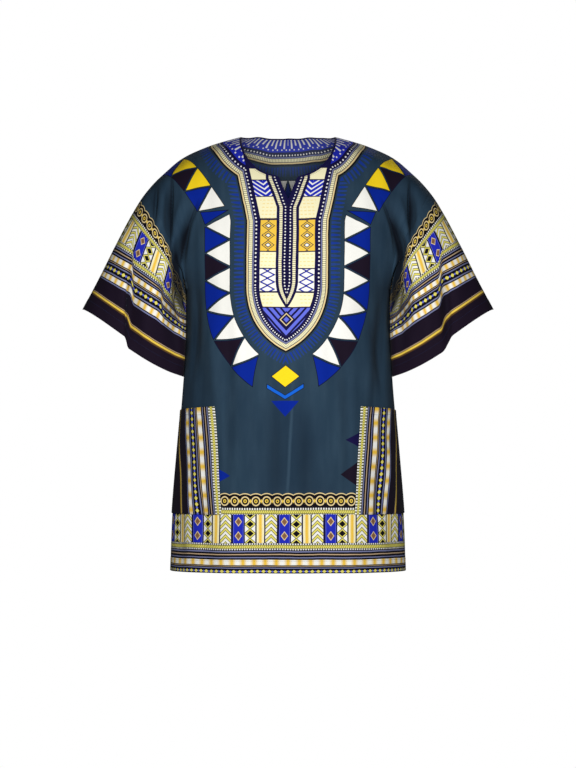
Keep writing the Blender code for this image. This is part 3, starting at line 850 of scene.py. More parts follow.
def slid(points, around, height, side):
    """Slides half a sleeve along itself, so that its bands step down at each fold and its cuff lifts."""
    slide = np.zeros(around.shape)
    girth = around[:, -1:]
    for of_side, top_around, top, foot_around, foot, drop, top_width, foot_width, end in SLEEVE_STEPS:
        if of_side != side:
            continue
        share = (top - height) / (top - foot)
        line = top_around + share * (foot_around - top_around)
        width = top_width + np.clip(share, 0, 1.5) * (foot_width - top_width)
        step = smooth(around, line - width, line + width) - around / girth
        slide += drop * step * smooth(height, end, end + STEP_END)
    slide *= 1 - smooth(height, *STEP_FADE)
    slide -= CUFF_LIFT * np.sin(math.pi * around / girth) * (1 - smooth(height, 0, CUFF_LIFT_REACH))
    return points + unit(np.gradient(points, axis=0)) * slide[..., None]


def sleeve_grid(side):
    """A sleeve's grid from the armhole seam to the cuff, once round from the underarm seam by the back.

    Its cloth coordinates are the distance round from the top fold, and the height above the cuff.
    """
    round_shares = np.linspace(0, 1, SLEEVE_COLUMNS + 1)
    sleeve_shares = np.linspace(SEAM_PART / SLEEVE_LENGTH, 1.0, SLEEVE_ROWS + 1)
    part = smooth(round_shares, ARMPIT_PART_START, 1.0)
    halves = {}
    for facing in (-1, 1):
        rings = np.stack([ring(share, facing, round_shares) for share in sleeve_shares])
        around = np.stack([lengths(line) for line in rings])
        meet = -read(SLEEVE_RINGS, 5, sleeve_shares)[:, None]
        rings[..., 0] += (ARMPIT_PART + EDGE_TUCK * meet) * part
        points = folded(rings * (side, 1, 1), facing, normals_of, meet)
        height = np.repeat(((1 - sleeve_shares) * SLEEVE_LENGTH)[:, None], len(round_shares), axis=1)
        points = slid(points, around, height, side * -facing)
        halves[facing] = points, np.stack([around * -facing, height], axis=-1)
    points = np.concatenate([halves[1][0][:, :0:-1], halves[-1][0]], axis=1)
    cloth = np.concatenate([halves[1][1][:, :0:-1], halves[-1][1]], axis=1)
    if side < 0:
        points, cloth = points[:, ::-1], cloth[:, ::-1]
    return points, cloth


# ---- meshes of thin cloth
def border_of(numbers):
    """The vertex numbers once round a grid's edge, starting along its first row."""
    return np.concatenate([numbers[0, :-1], numbers[:-1, -1], numbers[-1, :0:-1], numbers[:0:-1, 0]])


def quads(numbers):
    """The faces between the rows and columns of a grid of vertex numbers."""
    corners = [numbers[:-1, :-1], numbers[1:, :-1], numbers[1:, 1:], numbers[:-1, 1:]]
    return np.stack(corners, axis=-1).reshape(-1, 4)


def numbered(rows, columns):
    """A grid of vertex numbers."""
    return np.arange(rows * columns).reshape(rows, columns)


def add_piece(name, vertices, faces, layers, materials):
    """Adds a smooth mesh to the scene. Its texture layers have a place for each corner of each face."""
    mesh = bpy.data.meshes.new(name)
    mesh.from_pydata(np.asarray(vertices).tolist(), [], np.asarray(faces).tolist())
    for label, places in layers.items():
        layer = mesh.uv_layers.new(name=label, do_init=False)
        layer.data.foreach_set("uv", places.astype(np.float32).ravel())
    for material in materials:
        mesh.materials.append(material)
    mesh.shade_smooth()
    piece = bpy.data.objects.new(name, mesh)
    bpy.context.scene.collection.objects.link(piece)
    return piece


def cloth_piece(name, points, cloth, out, thickness, materials, neck=None):
    """A thin sheet with an outer face, an inner face and a rounded rim, all with cloth coordinates.

    The out grid holds its unit normals, and the thickness grid its thickness at each point.
    """
    numbers = numbered(*points.shape[:2])
    border = border_of(numbers)
    flat = points.reshape(-1, 3)
    wall = thickness.reshape(-1, 1)
    half = out.reshape(-1, 3) * wall / 2
    rim = flat[border] + rim_direction(points, out, border) * wall[border] * RIM_BULGE
    vertices = np.concatenate([flat + half, flat - half, rim])

    outer = quads(numbers)
    edge = np.stack([border, 2 * len(flat) + np.arange(len(border))])
    if np.median(np.sum(grid_normals(points) * out, axis=-1)) < 0:
        outer, edge = outer[:, ::-1], edge[:, ::-1]
    high, middle = edge
    high_after, middle_after = np.roll(edge, -1, axis=1)
    rim_faces = [
        np.stack([high, high_after, middle_after, middle], axis=-1),
        np.stack([middle, middle_after, high_after + len(flat), high + len(flat)], axis=-1),
    ]
    faces = np.concatenate([outer, outer[:, ::-1] + len(flat), *rim_faces])

    # These two layers carry painted shade: how much each point is darkened for lying in a crease, and its
    # distance from a sharp crease's foot with the strength of the thin painted dark line there.
    places = {"Cloth": cloth, "Crease": painted_crease_shade(points, out)[..., None] * (1, 0)}
    places["Foot"] = painted_crease_line(points, out)
    if neck is not None:
        places["Neck"] = neck
    layers = {}
    for label, place in places.items():
        place = place.reshape(-1, 2)
        layers[label] = np.concatenate([place, place, place[border]])[faces]
    layers["OFBake"] = bake_islands(cloth.reshape(-1, 2), outer, len(border))
    piece = add_piece(name, vertices, faces, layers, materials)
    inside = np.arange(len(faces)) // len(outer) == 1
    piece.data.polygons.foreach_set("material_index", inside.astype(np.int32))
    return piece


def rim_direction(points, out, border):
    """At each point of a grid's edge, the direction in the cloth away from the piece."""
    flat = points.reshape(-1, 3)
    edge = flat[border]
    run = np.roll(edge, -1, axis=0) - np.roll(edge, 1, axis=0)
    return faced(unit(np.cross(run, out.reshape(-1, 3)[border])), edge - flat.mean(axis=0))


def bake_islands(cloth, outer, rim_faces):
    """Texture places of the outer face and inner face side by side, with the rim in strips below them."""
    low, high = cloth.min(axis=0), cloth.max(axis=0)
    place = ISLAND_MARGIN + (cloth - low) / (high - low) * (1 - 2 * ISLAND_MARGIN)
    place[:, 1] = RIM_STRIPS + place[:, 1] * (1 - RIM_STRIPS)
    outside = place * (0.5, 1)
    inside = outside + (0.5, 0)
    islands = [outside[outer], inside[outer[:, ::-1]]]
    along = np.linspace(ISLAND_MARGIN, 1 - ISLAND_MARGIN, rim_faces + 1)
    for strip in (0, 1):
        foot, head = ((strip + share) * RIM_STRIPS / 2 for share in RIM_STRIP_SHARES)
        corners = [(along[:-1], foot), (along[1:], foot), (along[1:], head), (along[:-1], head)]
        corners = [np.stack(np.broadcast_arrays(*corner), axis=-1) for corner in corners]
        islands.append(np.stack(corners, axis=1))
    return np.concatenate(islands)


# ---- stage, camera and lights
def add_stage():
    """A plain pale floor at the height where the wearer would stand."""
    turns = np.linspace(0, math.tau, FLOOR_SIDES, endpoint=False)
    points = [(FLOOR_REACH * math.cos(turn), FLOOR_REACH * math.sin(turn), FLOOR) for turn in turns]
    sides = [(FLOOR_SIDES, side, (side + 1) % FLOOR_SIDES) for side in range(FLOOR_SIDES)]
    material = bpy.data.materials.new("floor")
    material.use_nodes = True
    set_inputs(material.node_tree.nodes["Principled BSDF"], FLOOR_FINISH)
    add_piece("floor", [*points, (0.0, 0.0, FLOOR)], sides, {}, [material])


def add_light(name, place, aim, size, power):
    """A square soft light that faces a point."""
    light = bpy.data.lights.new(name, "AREA")
    light.size = size
    light.energy = power
    lamp = bpy.data.objects.new(name, light)
    lamp.location = place
    lamp.rotation_euler = (Vector(aim) - Vector(place)).to_track_quat("-Z", "Y").to_euler()
    lamp.visible_camera = False
    bpy.context.scene.collection.objects.link(lamp)


def add_world():
    """A white surround that the camera sees brighter than it lights the cloth."""
    world = bpy.data.worlds.new("studio")
    bpy.context.scene.world = world
    world.use_nodes = True
    tree = world.node_tree
    seen = add_node(tree, "ShaderNodeLightPath").outputs["Is Camera Ray"]
    shade = add_node(tree, "ShaderNodeMixRGB", {"Fac": seen, "Color1": SURROUND_TINT, "Color2": (1, 1, 1, 1)})
    strength = add_node(tree, "ShaderNodeMapRange", {"Value": seen, "To Min": SURROUND_LIGHT, "To Max": 1.0})
    background = {"Color": shade.outputs["Color"], "Strength": strength.outputs["Result"]}
    set_inputs(tree.nodes["Background"], background)


def add_camera():
    """The camera, far in front and level with the middle of the shirt."""
    lens = bpy.data.cameras.new("camera")
    lens.sensor_width = 36
    lens.lens = lens.sensor_width * CAMERA_DISTANCE / VIEW_HEIGHT
    camera = bpy.data.objects.new("camera", lens)
    camera.location = (0, -CAMERA_DISTANCE, CAMERA_HEIGHT)
    camera.rotation_euler = (math.pi / 2, 0, 0)
    bpy.context.scene.collection.objects.link(camera)
    bpy.context.scene.camera = camera


# ---- colours of the print
def dye(red, green, blue):
    """A colour as seen on screen, 0 to 255, turned into the light that it sends back."""
    shares = (part / 255 for part in (red, green, blue))
    light = (((share + 0.055) / 1.055) ** 2.4 if share > 0.04045 else share / 12.92 for share in shares)
    return (*light, 1.0)


SLATE = dye(39, 60, 77)
SLATE_LIGHT = dye(53, 74, 91)
# SLATE_DARK is both the darker patches of the dye and the painted shade beside the pressed fold.
SLATE_DARK = dye(28, 46, 63)
BLACK = dye(16, 12, 20)
NAVY = dye(20, 16, 62)
INK = dye(10, 7, 20)
AUBERGINE = dye(26, 17, 32)
COBALT = dye(4, 36, 142)
ROYAL = dye(34, 44, 178)
BRIGHT_BLUE = dye(20, 96, 205)
DEEP_BLUE = dye(24, 54, 140)
STEEL_BLUE = dye(34, 62, 128)
LAVENDER = dye(98, 108, 216)
VIOLET = dye(122, 126, 164)
WHITE = dye(246, 244, 236)
CREAM = dye(248, 240, 196)
STRAW = dye(232, 208, 150)
YELLOW = dye(250, 214, 30)
GOLD = dye(236, 200, 78)
BRONZE = dye(96, 70, 34)
CORD_YELLOW = dye(234, 222, 106)
OLIVE = dye(92, 90, 48)
AMBER = dye(240, 196, 72)
TAN = dye(196, 168, 132)
BROWN = dye(132, 92, 66)
INSIDE_TINT = dye(92, 104, 116)
# The near-black that is painted into the creases as shade.
SHADE = dye(8, 12, 20)
THREAD_BLUE = dye(34, 44, 78)


# ---- tables of the print
BORDER_STRIPES = (  # middle height, half width, colour
    (32.9, 1.4, BRONZE),
    (35.8, 1.6, GOLD),
    (38.8, 0.5, TAN),
    (64.0, 0.9, VIOLET),
    (77.6, 1.0, VIOLET),
    (92.4, 1.0, VIOLET),
    (96.4, 0.5, TAN),
    (111.8, 0.9, VIOLET),
    (117.2, 0.9, TAN),
    (122.4, 1.1, VIOLET),
)
BORDER_DASHES = ((70.5, 4.0), (103.4, 4.6))  # middle height, half width
BORDER_CORDS = ((130.6, 2.9), (185.6, 2.9))
BORDER_TICKS = ((126.3, 1.1), (135.0, 1.1), (181.2, 1.0), (190.2, 1.5))
CHAIN = ((0.0, 4.4, 3.4, CORD_YELLOW), (CHAIN_PITCH / 2, 2.4, 2.4, LAVENDER))  # shift, half sizes, colour
CHEVRON_PANEL = (-29.0, 9.8, WHITE)  # middle, half width, colour
SPOT_PANEL = (-6.0, 9.0, ROYAL)
GLASS_PANEL = (14.5, 9.0, WHITE)
PLAIN_PANEL = (32.5, 6.4, CREAM)
CHEVRON_COLOURS = ((3.1, BLACK), (1.9, CORD_YELLOW))  # a limit, and the colour below it
SPOT_COLOURS = ((1.0, STRAW), (0.76, BROWN))
GLASS_COLOURS = ((1.5, BLACK), (-0.2, CORD_YELLOW), (-3.0, BLACK))
RING_COLOURS = ((3.0, GOLD), (1.3, BLACK))
DIAMOND_COLOURS = ((0.5, NAVY), (0.2, WHITE))
GLASS_BLOCK_COLOURS = ((1.8, INK), (0.0, ROYAL), (-3.4, WHITE))
KITE_COLOURS = ((1.07, INK), (1.0, YELLOW))
BAR_LAYERS = ((4.0, 32.0, INK), (3.0, 31.0, BRIGHT_BLUE))  # half width, reach from the centre line, colour
RIM_BARS = ((MARK_PITCH, 11.5, 8.5, STEEL_BLUE), (2 * MARK_PITCH, 9.5, 6.5, DEEP_BLUE))
YOKE_LINES = (  # middle distance outside the outline, half width, colour
    (-1.1, 1.3, BLACK),
    (-4.0, 1.3, STRAW),
    (-14.2, 1.0, VIOLET),
)
BLOCKS = (  # middle height, half height, colour
    (-60.0, 11.0, CREAM),
    (*CHEVRON_BLOCK, ROYAL),
    (*TICK_BLOCKS[0], CREAM),
    (*DIAMOND_BLOCK, AMBER),
    (*TICK_BLOCKS[1], CREAM),
    (*GLASS_BLOCK, WHITE),
    (*TICK_BLOCKS[2], CREAM),
)
POCKET_MARKS = (  # side, distance of the point from the centre line, height, half height, colour
    (-1, 102.0, -590.0, 13.0, COBALT),
    (1, 101.5, -528.0, 12.0, NAVY),
    (1, 92.0, -588.0, 16.0, AUBERGINE),
)
CLOUDS = (((60.0, 9.0, 1.0), 0.55, SLATE_LIGHT), ((14.0, 7.0, 1.0), 0.6, SLATE_DARK))  # scale, share, colour


# ---- numbers worked out by material nodes
class Field:
    """A number at every point of a material, built up from Math nodes."""

    def __init__(self, socket):
        self.socket = socket

    def __add__(self, other):
        return calc("ADD", self, other)

    def __sub__(self, other):
        return calc("SUBTRACT", self, other)

    def __rsub__(self, other):
        return calc("SUBTRACT", other, self)

    def __mul__(self, other):
        return calc("MULTIPLY", self, other)

    def __neg__(self):
        return calc("MULTIPLY", self, -1.0)

    def __abs__(self):
        return calc("ABSOLUTE", self)

    __radd__ = __add__
    __rmul__ = __mul__


def set_inputs(node, inputs):
    """Sets a node's inputs to values, or links them to the outputs of other nodes."""
    for slot, value in inputs.items():
        value = getattr(value, "socket", value)
        if isinstance(value, bpy.types.NodeSocket):
            node.id_data.links.new(value, node.inputs[slot])
        else:
            node.inputs[slot].default_value = value


def add_node(tree, kind, inputs=None, **settings):
    """Adds a node with these inputs and settings."""
    node = tree.nodes.new(kind)
    for setting, value in settings.items():
        setattr(node, setting, value)
    set_inputs(node, inputs or {})
    return node


def calc(operation, *values, clamp=False):
    """A Math node of this operation on fields and plain numbers."""
    tree = next(value.socket.id_data for value in values if isinstance(value, Field))
    node = add_node(tree, "ShaderNodeMath", dict(enumerate(values)), operation=operation, use_clamp=clamp)
    return Field(node.outputs[0])


def linear(value, slope, start, clamp=False):
    """A value times its slope, plus a start."""
    return calc("MULTIPLY_ADD", value, slope, start, clamp=clamp)


def least(first, second):
    return calc("MINIMUM", first, second)


def most(first, second):
    return calc("MAXIMUM", first, second)


def below(value, limit, soft=PRINT_EDGE):
    """1 where a value is below a number, else 0, with a slightly soft edge."""
    return linear(value, -1 / soft, limit / soft + 0.5, clamp=True)


def above(value, limit, soft=PRINT_EDGE):
    return linear(value, 1 / soft, 0.5 - limit / soft, clamp=True)


def near(value, middle, half, soft=PRINT_EDGE):
    """1 within a half width of a middle value."""
    return below(abs(value - middle), half, soft)


def each(value, pitch):
    """How far a value is from the middle of its own repeat: the middles lie at whole numbers of pitches."""
    return calc("WRAP", value, pitch / 2, -pitch / 2)


def from_each(value, pitch):
    """The distance to the nearest whole number of pitches."""
    return calc("PINGPONG", value, pitch / 2)


def radius(across, up):
    """The distance from a centre."""
    return calc("SQRT", linear(across, across, up * up))


def lozenge(across, up, half_width, half_height):
    """Below 1 within a lozenge."""
    return abs(across) * (1 / half_width) + abs(up) * (1 / half_height)


def triangle(across, up, corners):
    """How far inside a triangle each point is. Its corners run anticlockwise."""
    inside = None
    for (start, foot), (end, head) in zip(corners, (*corners[1:], corners[0])):
        length = math.hypot(end - start, head - foot)
        run, rise = (end - start) / length, (head - foot) / length
        edge = linear(across, -rise, up * run) + (rise * start - run * foot)
        inside = least(inside, edge) if inside else edge
    return inside


class Paint:
    """The printed colour, laid motif over motif."""

    def __init__(self, tree, colour):
        self.tree = tree
        self.colour = colour

    def lay(self, mask, colour):
        """Lays a colour, or another paint, where a mask is 1."""
        colours = {"Color1": self.colour, "Color2": getattr(colour, "colour", colour)}
        node = add_node(self.tree, "ShaderNodeMixRGB", {"Fac": mask, **colours})
        self.colour = node.outputs["Color"]

    def fill(self, zone, value, colours, soft=PRINT_EDGE):
        """Lays colours in a zone, each where a value is below that colour's limit."""
        for limit, colour in colours:
            self.lay(zone * below(value, limit, soft), colour)


# ---- motifs, in millimetres of cloth
def cord(paint, zone, along, pitch, colour, rung):
    """A ribbed cord: its colour with even rungs across."""
    paint.lay(zone, colour)
    paint.lay(zone * above(from_each(along, pitch), pitch * RUNG_FROM, pitch * RUNG_SOFT), rung)


def border(tree, along, height, dash_pitch):
    """The band of stripes and panels at the cuffs, pockets and hem, by height above the cuff's edge."""
    paint = Paint(tree, AUBERGINE)
    paint.lay(above(height, PLAIN_FOOT), INK)
    for middle, half, colour in BORDER_STRIPES:
        paint.lay(near(height, middle, half), colour)
    amber = below(from_each(along, dash_pitch), dash_pitch * AMBER_SHARE, dash_pitch * AMBER_SOFT)
    for middle, half in BORDER_DASHES:
        zone = near(height, middle, half)
        paint.lay(zone, WHITE)
        paint.lay(zone * amber, AMBER)
    for shift, half_width, half_height, colour in CHAIN:
        bead = lozenge(each(along + shift, CHAIN_PITCH), height - CHAIN_MIDDLE, half_width, half_height)
        paint.lay(below(bead, 1, BEAD_SOFT), colour)
    for middle, half in BORDER_CORDS:
        cord(paint, near(height, middle, half), along + height * CORD_SLANT, CORD_PITCH, CORD_YELLOW, OLIVE)
        paint.lay(near(abs(height - middle), half, CORD_LINE), OLIVE)
    for middle, half in BORDER_TICKS:
        tick = below(from_each(along, TICK_PITCH), TICK_PITCH * TICK_SHARE)
        paint.lay(near(height, middle, half) * tick, WHITE)
    panel_row(paint, along, height)
    ring_row(paint, along, height)
    return paint


def panel_row(paint, along, height):
    """A row of upright panels between the two cords: chevrons, spots, hourglasses and a plain one."""
    row = near(height, PANEL_MIDDLE, PANEL_HALF)
    place = each(along, PANEL_PERIOD)
    rise = height - PANEL_MIDDLE
    paint.lay(row, NAVY)

    def panel(middle, half, colour):
        across = abs(place - middle)
        zone = row * below(across, half)
        paint.lay(zone, colour)
        return across, zone

    across, zone = panel(*CHEVRON_PANEL)
    slope = linear(across, CHEVRON_SLOPE, rise)
    paint.fill(zone, from_each(slope, CHEVRON_PITCH), CHEVRON_COLOURS)

    across, zone = panel(*SPOT_PANEL)
    paint.lay(zone * above(across, SPOT_LINE), LAVENDER)
    spot = lozenge(across, from_each(rise + PANEL_HALF / 2, PANEL_HALF), *SPOT_HALVES)
    paint.fill(zone, spot, SPOT_COLOURS, SPOT_SOFT)

    across, zone = panel(*GLASS_PANEL)
    paint.fill(zone, across - from_each(rise, GLASS_PITCH) * GLASS_SLOPE, GLASS_COLOURS)

    across, zone = panel(*PLAIN_PANEL)
    paint.lay(zone * below(across, *PLAIN_GLOW), AMBER)


def ring_row(paint, along, height):
    """Gold rings on black."""
    paint.lay(above(height, RING_MIDDLE - RING_ROW_HALF), BLACK)
    rise = height - RING_MIDDLE
    from_ring = radius(each(along, RING_PITCH), rise)
    paint.lay(near(from_ring, *RING_LINE), STRAW)
    paint.fill(1.0, from_ring, RING_COLOURS)
    spark = lozenge(each(along + RING_PITCH / 2, RING_PITCH), rise, *SPARK_HALVES)
    paint.lay(below(spark, 1, SPARK_SOFT), GOLD)
    paint.lay(near(height - scallop(along), 0, SCALLOP_LINE), STRAW)


def scallop(along):
    """The height of the border's scalloped upper edge."""
    away = from_each(along, RING_PITCH)
    return linear(away * away, -SCALLOP_DEPTH / (RING_PITCH / 2) ** 2, BORDER_TOP)


def ground(tree, cloth):
    """The cloth's own slate colour, with lighter upright clouds and darker patches."""
    paint = Paint(tree, SLATE)
    for scale, share, colour in CLOUDS:
        stretched = add_node(tree, "ShaderNodeMapping", {"Vector": cloth, "Scale": scale}).outputs["Vector"]
        noise = add_node(tree, "ShaderNodeTexNoise", {"Vector": stretched, "Scale": 1.0, "Detail": 4.0})
        cloud = linear(Field(noise.outputs["Fac"]), *CLOUD_CONTRAST, clamp=True)
        paint.lay(cloud * share, colour)
    return paint


class Yoke:
    """Lays out the panel round the neck: how far a point is outside its outline, and how far along it."""

    def __init__(self, across, up, neck, turn, front):
        self.front = front
        self.side = abs(across)
        self.up = up
        self.turn = turn
        narrowing = most(COLLAR_FULL_TURN - turn, 0.0)
        self.collar = neck - linear(narrowing, -COLLAR_NARROWING, COLLAR_WIDTH)
        self.away = self.collar
        if front:
            flare = least(most(up - FLARE_FROM, 0.0) * FLARE, FLARE_MOST)
            reach = self.side + (ARCH_RADIUS - TONGUE_HALF)
            drop = most(SPRING - up, 0.0)
            self.tongue = radius(reach, drop) - ARCH_RADIUS - flare
            turned = calc("ARCTAN2", drop, reach) * (-(ARCH_RADIUS + RING_REACH))
            self.tongue_along = most(up - SPRING, 0.0) + turned
            self.on_tongue = below(self.tongue - self.collar, 0, 0.02)
            self.away = least(self.tongue, self.collar)

    def along(self, per_degree):
        """How far a point is along the yoke, where a degree round the neck is this many millimetres."""
        round_neck = self.turn * per_degree
        if not self.front:
            return round_neck
        return round_neck + self.on_tongue * (self.tongue_along - round_neck)


def rim_marks(paint, yoke):
    """Short bars of a muted blue, side by side round the yoke."""
    along = yoke.along(RIM_PER_DEGREE)
    taper = linear(yoke.away, RIM_TAPER, RIM_HALF)
    for pitch, middle, half, colour in RIM_BARS:
        bar = below(from_each(along, pitch) - taper, 0, RIM_SOFT)
        paint.lay(near(yoke.away, middle, half) * bar, colour)


def teeth(paint, yoke):
    """Triangles round the yoke that point outward, with darker ones between that point inward."""
    if not yoke.front:
        middle_back = 180 * TEETH_PER_DEGREE + TEETH_PITCH / 2
        along = linear(yoke.turn, -TEETH_PER_DEGREE, middle_back)
        zone = above(yoke.turn, BACK_TEETH_TURN)
        tooth_row(paint, yoke.away - TEETH_FROM, along, zone, zone, WHITE)
        return
    along = yoke.tongue_along - TEETH_FIRST
    light_zone = near(along, -TEETH_RUN / 2, TEETH_RUN / 2 + TEETH_PITCH / 2)
    dark_zone = near(along, -TEETH_RUN / 2 - TEETH_PITCH / 2, TEETH_RUN / 2 + TEETH_PITCH / 2)
    tooth_row(paint, yoke.tongue - TEETH_FROM, along, light_zone, dark_zone, WHITE)
    wedge = triangle(yoke.side, yoke.up, TEETH_WEDGE)
    paint.lay(above(wedge, -TEETH_LINE), INK)
    paint.lay(above(wedge, 0), COBALT)
    across = yoke.side - SHOULDER_ROW[0]
    rise = yoke.up - SHOULDER_ROW[1]
    lean = math.radians(SHOULDER_ROW_LEAN)
    out = linear(across, math.sin(lean), rise * -math.cos(lean))
    along = linear(across, math.cos(lean), rise * math.sin(lean)) - TEETH_PITCH / 2
    light = tooth_row(paint, out, along, above(along, -TEETH_PITCH / 2), above(along, 0), YELLOW)
    paint.lay(light * below(along, TEETH_PITCH / 2), WHITE)


def tooth_row(paint, out, along, light_zone, dark_zone, colour):
    """A row of triangles on a base line: light ones at whole pitches, with dark ones between them.

    Gives back where the light ones are.
    """
    half = linear(out, DARK_TEETH_SLOPE, -DARK_TEETH_SLOPE * TEETH_GAP)
    dark = least(half - abs(each(along + TEETH_PITCH / 2, TEETH_PITCH)), DARK_TEETH_HEIGHT - out)
    dark_zone = dark_zone * above(out, 0)
    paint.lay(dark_zone * above(dark, -TEETH_LINE), INK)
    paint.lay(dark_zone * above(dark, 0), COBALT)
    third = below(from_each(along + 1.5 * TEETH_PITCH, 3 * TEETH_PITCH), TEETH_PITCH / 2)
    paint.lay(dark_zone * above(dark, 0) * third, AUBERGINE)
    half = linear(out, -TEETH_HALF / TEETH_HEIGHT, TEETH_HALF)
    light = least(half - abs(each(along, TEETH_PITCH)), out)
    paint.lay(light_zone * above(light, -TEETH_LINE), INK)
    light = light_zone * above(light, 0)
    paint.lay(light, colour)
    return light


def yoke_bands(paint, yoke):
    """The yoke's outline, with a cord and a dotted band inside it."""
    paint.lay(below(yoke.away, 0), NAVY)
    for middle, half, colour in YOKE_LINES:
        paint.lay(near(yoke.away, middle, half), colour)
    along = yoke.along(BAND_PER_DEGREE)
    cord(paint, near(yoke.away, *YOKE_CORD), along, YOKE_CORD_PITCH, CREAM, OLIVE)
    dot = radius(each(along, DOT_PITCH), yoke.away - DOT_MIDDLE)
    paint.lay(below(dot, DOT_RADIUS), WHITE)


def collar_fill(paint, yoke):
    """The collar's cobalt, with white strokes that point away from the neck, and a row of dots."""
    zone = below(yoke.collar, -YOKE_BAND)
    if yoke.front:
        zone = zone * above(yoke.tongue, -YOKE_BAND + COLLAR_OVERLAP)
    paint.lay(zone, ROYAL)
    along = yoke.turn * STROKE_PER_DEGREE
    stroke = below(from_each(along, STROKE_PITCH), *STROKE_HALF)
    longer = above(from_each(along, 2 * STROKE_PITCH), STROKE_PITCH / 2)
    depth = linear(longer, STROKE_SHORTER, yoke.collar)
    paint.lay(zone * stroke * below(depth, -YOKE_BAND - STROKE_START), WHITE)
    dot = radius(each(along + STROKE_PITCH / 2, STROKE_PITCH), yoke.collar + YOKE_BAND + STROKE_DOT_IN)
    paint.lay(zone * below(dot, DOT_RADIUS, STROKE_DOT_SOFT), WHITE)


def tongue_fill(paint, yoke):
    """Blocks of cream, cobalt, yellow and white down both sides of the neck slit."""
    up = yoke.up
    slit = linear(up, SLIT_SLOPE, -SLIT_FOOT * SLIT_SLOPE)
    slit = least(most(slit, 0.0), SLIT_HALF_WIDTH * 1000)
    closing = most(PLACKET_TAPER - up, 0.0)
    inside = yoke.side - slit + closing * closing * PLACKET_CLOSING
    across = abs(yoke.side - BLOCK_MIDDLE - slit * BLOCK_SHIFT)
    blocks = below(yoke.tongue, -YOKE_BAND - BLOCK_BORDER) * above(inside, PLACKET_HALF + BLOCK_BORDER)
    for middle, half, colour in BLOCKS:
        paint.lay(blocks * near(up, middle, half), colour)

    zone = blocks * near(up, *CHEVRON_BLOCK)
    rise = linear(across, CHEVRON_BLOCK_SLOPE, up)
    paint.lay(zone * below(from_each(rise, CHEVRON_BLOCK_PITCH), CHEVRON_BLOCK_LINE), WHITE)
    row = below(from_each(up, TICK_ROW_PITCH), *TICK_ROW_HALF)
    tick = above(from_each(yoke.side + up * TICK_LEAN, TICK_ROW_RUN), *TICK_GAP)
    for block in TICK_BLOCKS:
        zone = blocks * near(up, *block)
        paint.lay(zone * row * tick * TICK_STRENGTH * below(across, *TICK_REACH), AMBER)
    zone = blocks * near(up, *DIAMOND_BLOCK)
    shape = lozenge(across, from_each(up - DIAMOND_BLOCK[0], DIAMOND_PITCH), *DIAMOND_HALVES)
    stepped = calc("SNAP", shape, DIAMOND_STEP)
    paint.lay(zone * near(stepped, *DIAMOND_LINE, HARD_EDGE), NAVY)
    paint.fill(zone, stepped, DIAMOND_COLOURS, HARD_EDGE)
    zone = blocks * near(up, *GLASS_BLOCK)
    glass = linear(from_each(up, GLASS_BLOCK_PITCH), GLASS_BLOCK_SLOPE, across)
    paint.fill(zone, glass, GLASS_BLOCK_COLOURS)

    tip = below(yoke.tongue, -YOKE_BAND) * below(up, TIP_TOP)
    paint.lay(tip, LAVENDER)
    vee = linear(yoke.side, VEE_SLOPE, up)
    paint.lay(tip * below(from_each(vee, VEE_PITCH), VEE_HALF), NAVY)
    gem = lozenge(yoke.side, up - GEM_MIDDLE, GEM_HALF, GEM_HALF)
    paint.lay(below(gem, 1.0, GEM_SOFT), NAVY)
    paint.lay(near(gem, *GEM_LINE), STRAW)
    paint.lay(below(gem, GEM_HEART, GEM_SOFT), LAVENDER)

    placket = below(inside, PLACKET_HALF) * above(up, PLACKET_TIP)
    paint.lay(placket, NAVY)
    cord(paint, placket * near(inside, *PLACKET_CORD), up, CORD_PITCH, CREAM, NAVY)
    dot = radius(each(up, PLACKET_DOT_PITCH), inside - PLACKET_DOT_OUT)
    paint.lay(placket * below(dot, PLACKET_DOT_RADIUS), WHITE)
    paint.lay(placket * below(yoke.side, PLACKET_LINE), BLACK)


def kite(paint, side, up):
    """A lozenge, a bent bar and a triangle below the yoke's tip."""
    gem = lozenge(side, up - KITE_MIDDLE, *KITE_HALVES)
    paint.fill(1.0, gem, KITE_COLOURS, KITE_SOFT)
    bar = abs(linear(side, BAR_SLOPE, up - BAR_FOOT))
    for half, reach, colour in BAR_LAYERS:
        paint.lay(below(bar, half) * below(side, reach), colour)
    wedge = linear(up - WEDGE_FOOT, WEDGE_SLOPE, -side)
    paint.lay(above(wedge, 0) * below(up, WEDGE_FOOT + WEDGE_HEIGHT), COBALT)


def pressed(paint, across, up):
    """The pressed fold down the middle of the front: rubbed light along its edge, with painted shade in the
    hollow on both sides.
    """
    line = across - linear(up, PRESS_LEAN, -PRESS_LEAN * PRESS_FOOT)
    run = near(up, *PRESS_RUN)
    rubbed = below(abs(line), *PRESS_LINE)
    paint.lay(rubbed * run * PRESS_STRENGTH, SLATE_LIGHT)
    # Painted shade on both sides of the fold, clear of the line itself.
    painted_shade = near(line, 0, *PRESS_SHADE_BAND) * above(abs(line), *PRESS_CLEAR)
    paint.lay(painted_shade * run * PRESS_SHADE_STRENGTH, SLATE_DARK)


def front_print(tree, cloth, neck_place):
    """The front: a long yoke with its rings, a kite below it, and the border at the hem."""
    across, up = millimetres(tree, cloth)
    neck, turn = neck_fields(tree, neck_place)
    leaning = linear(most(SLIT_FOOT - up, 0.0), PRINT_LEAN, across)
    yoke = Yoke(leaning, up, neck, turn, front=True)
    paint = ground(tree, cloth)
    pressed(paint, across, up)
    rim_marks(paint, yoke)
    teeth(paint, yoke)
    yoke_bands(paint, yoke)
    collar_fill(paint, yoke)
    tongue_fill(paint, yoke)
    kite(paint, yoke.side, up)
    for side, apex, middle, half, colour in POCKET_MARKS:
        mark = linear(across * side - apex, half / MARK_REACH, -abs(up - middle))
        paint.lay(above(mark, 0) * below(across * side, apex + MARK_TUCK), colour)
    lay_hem(paint, across, up)
    return paint


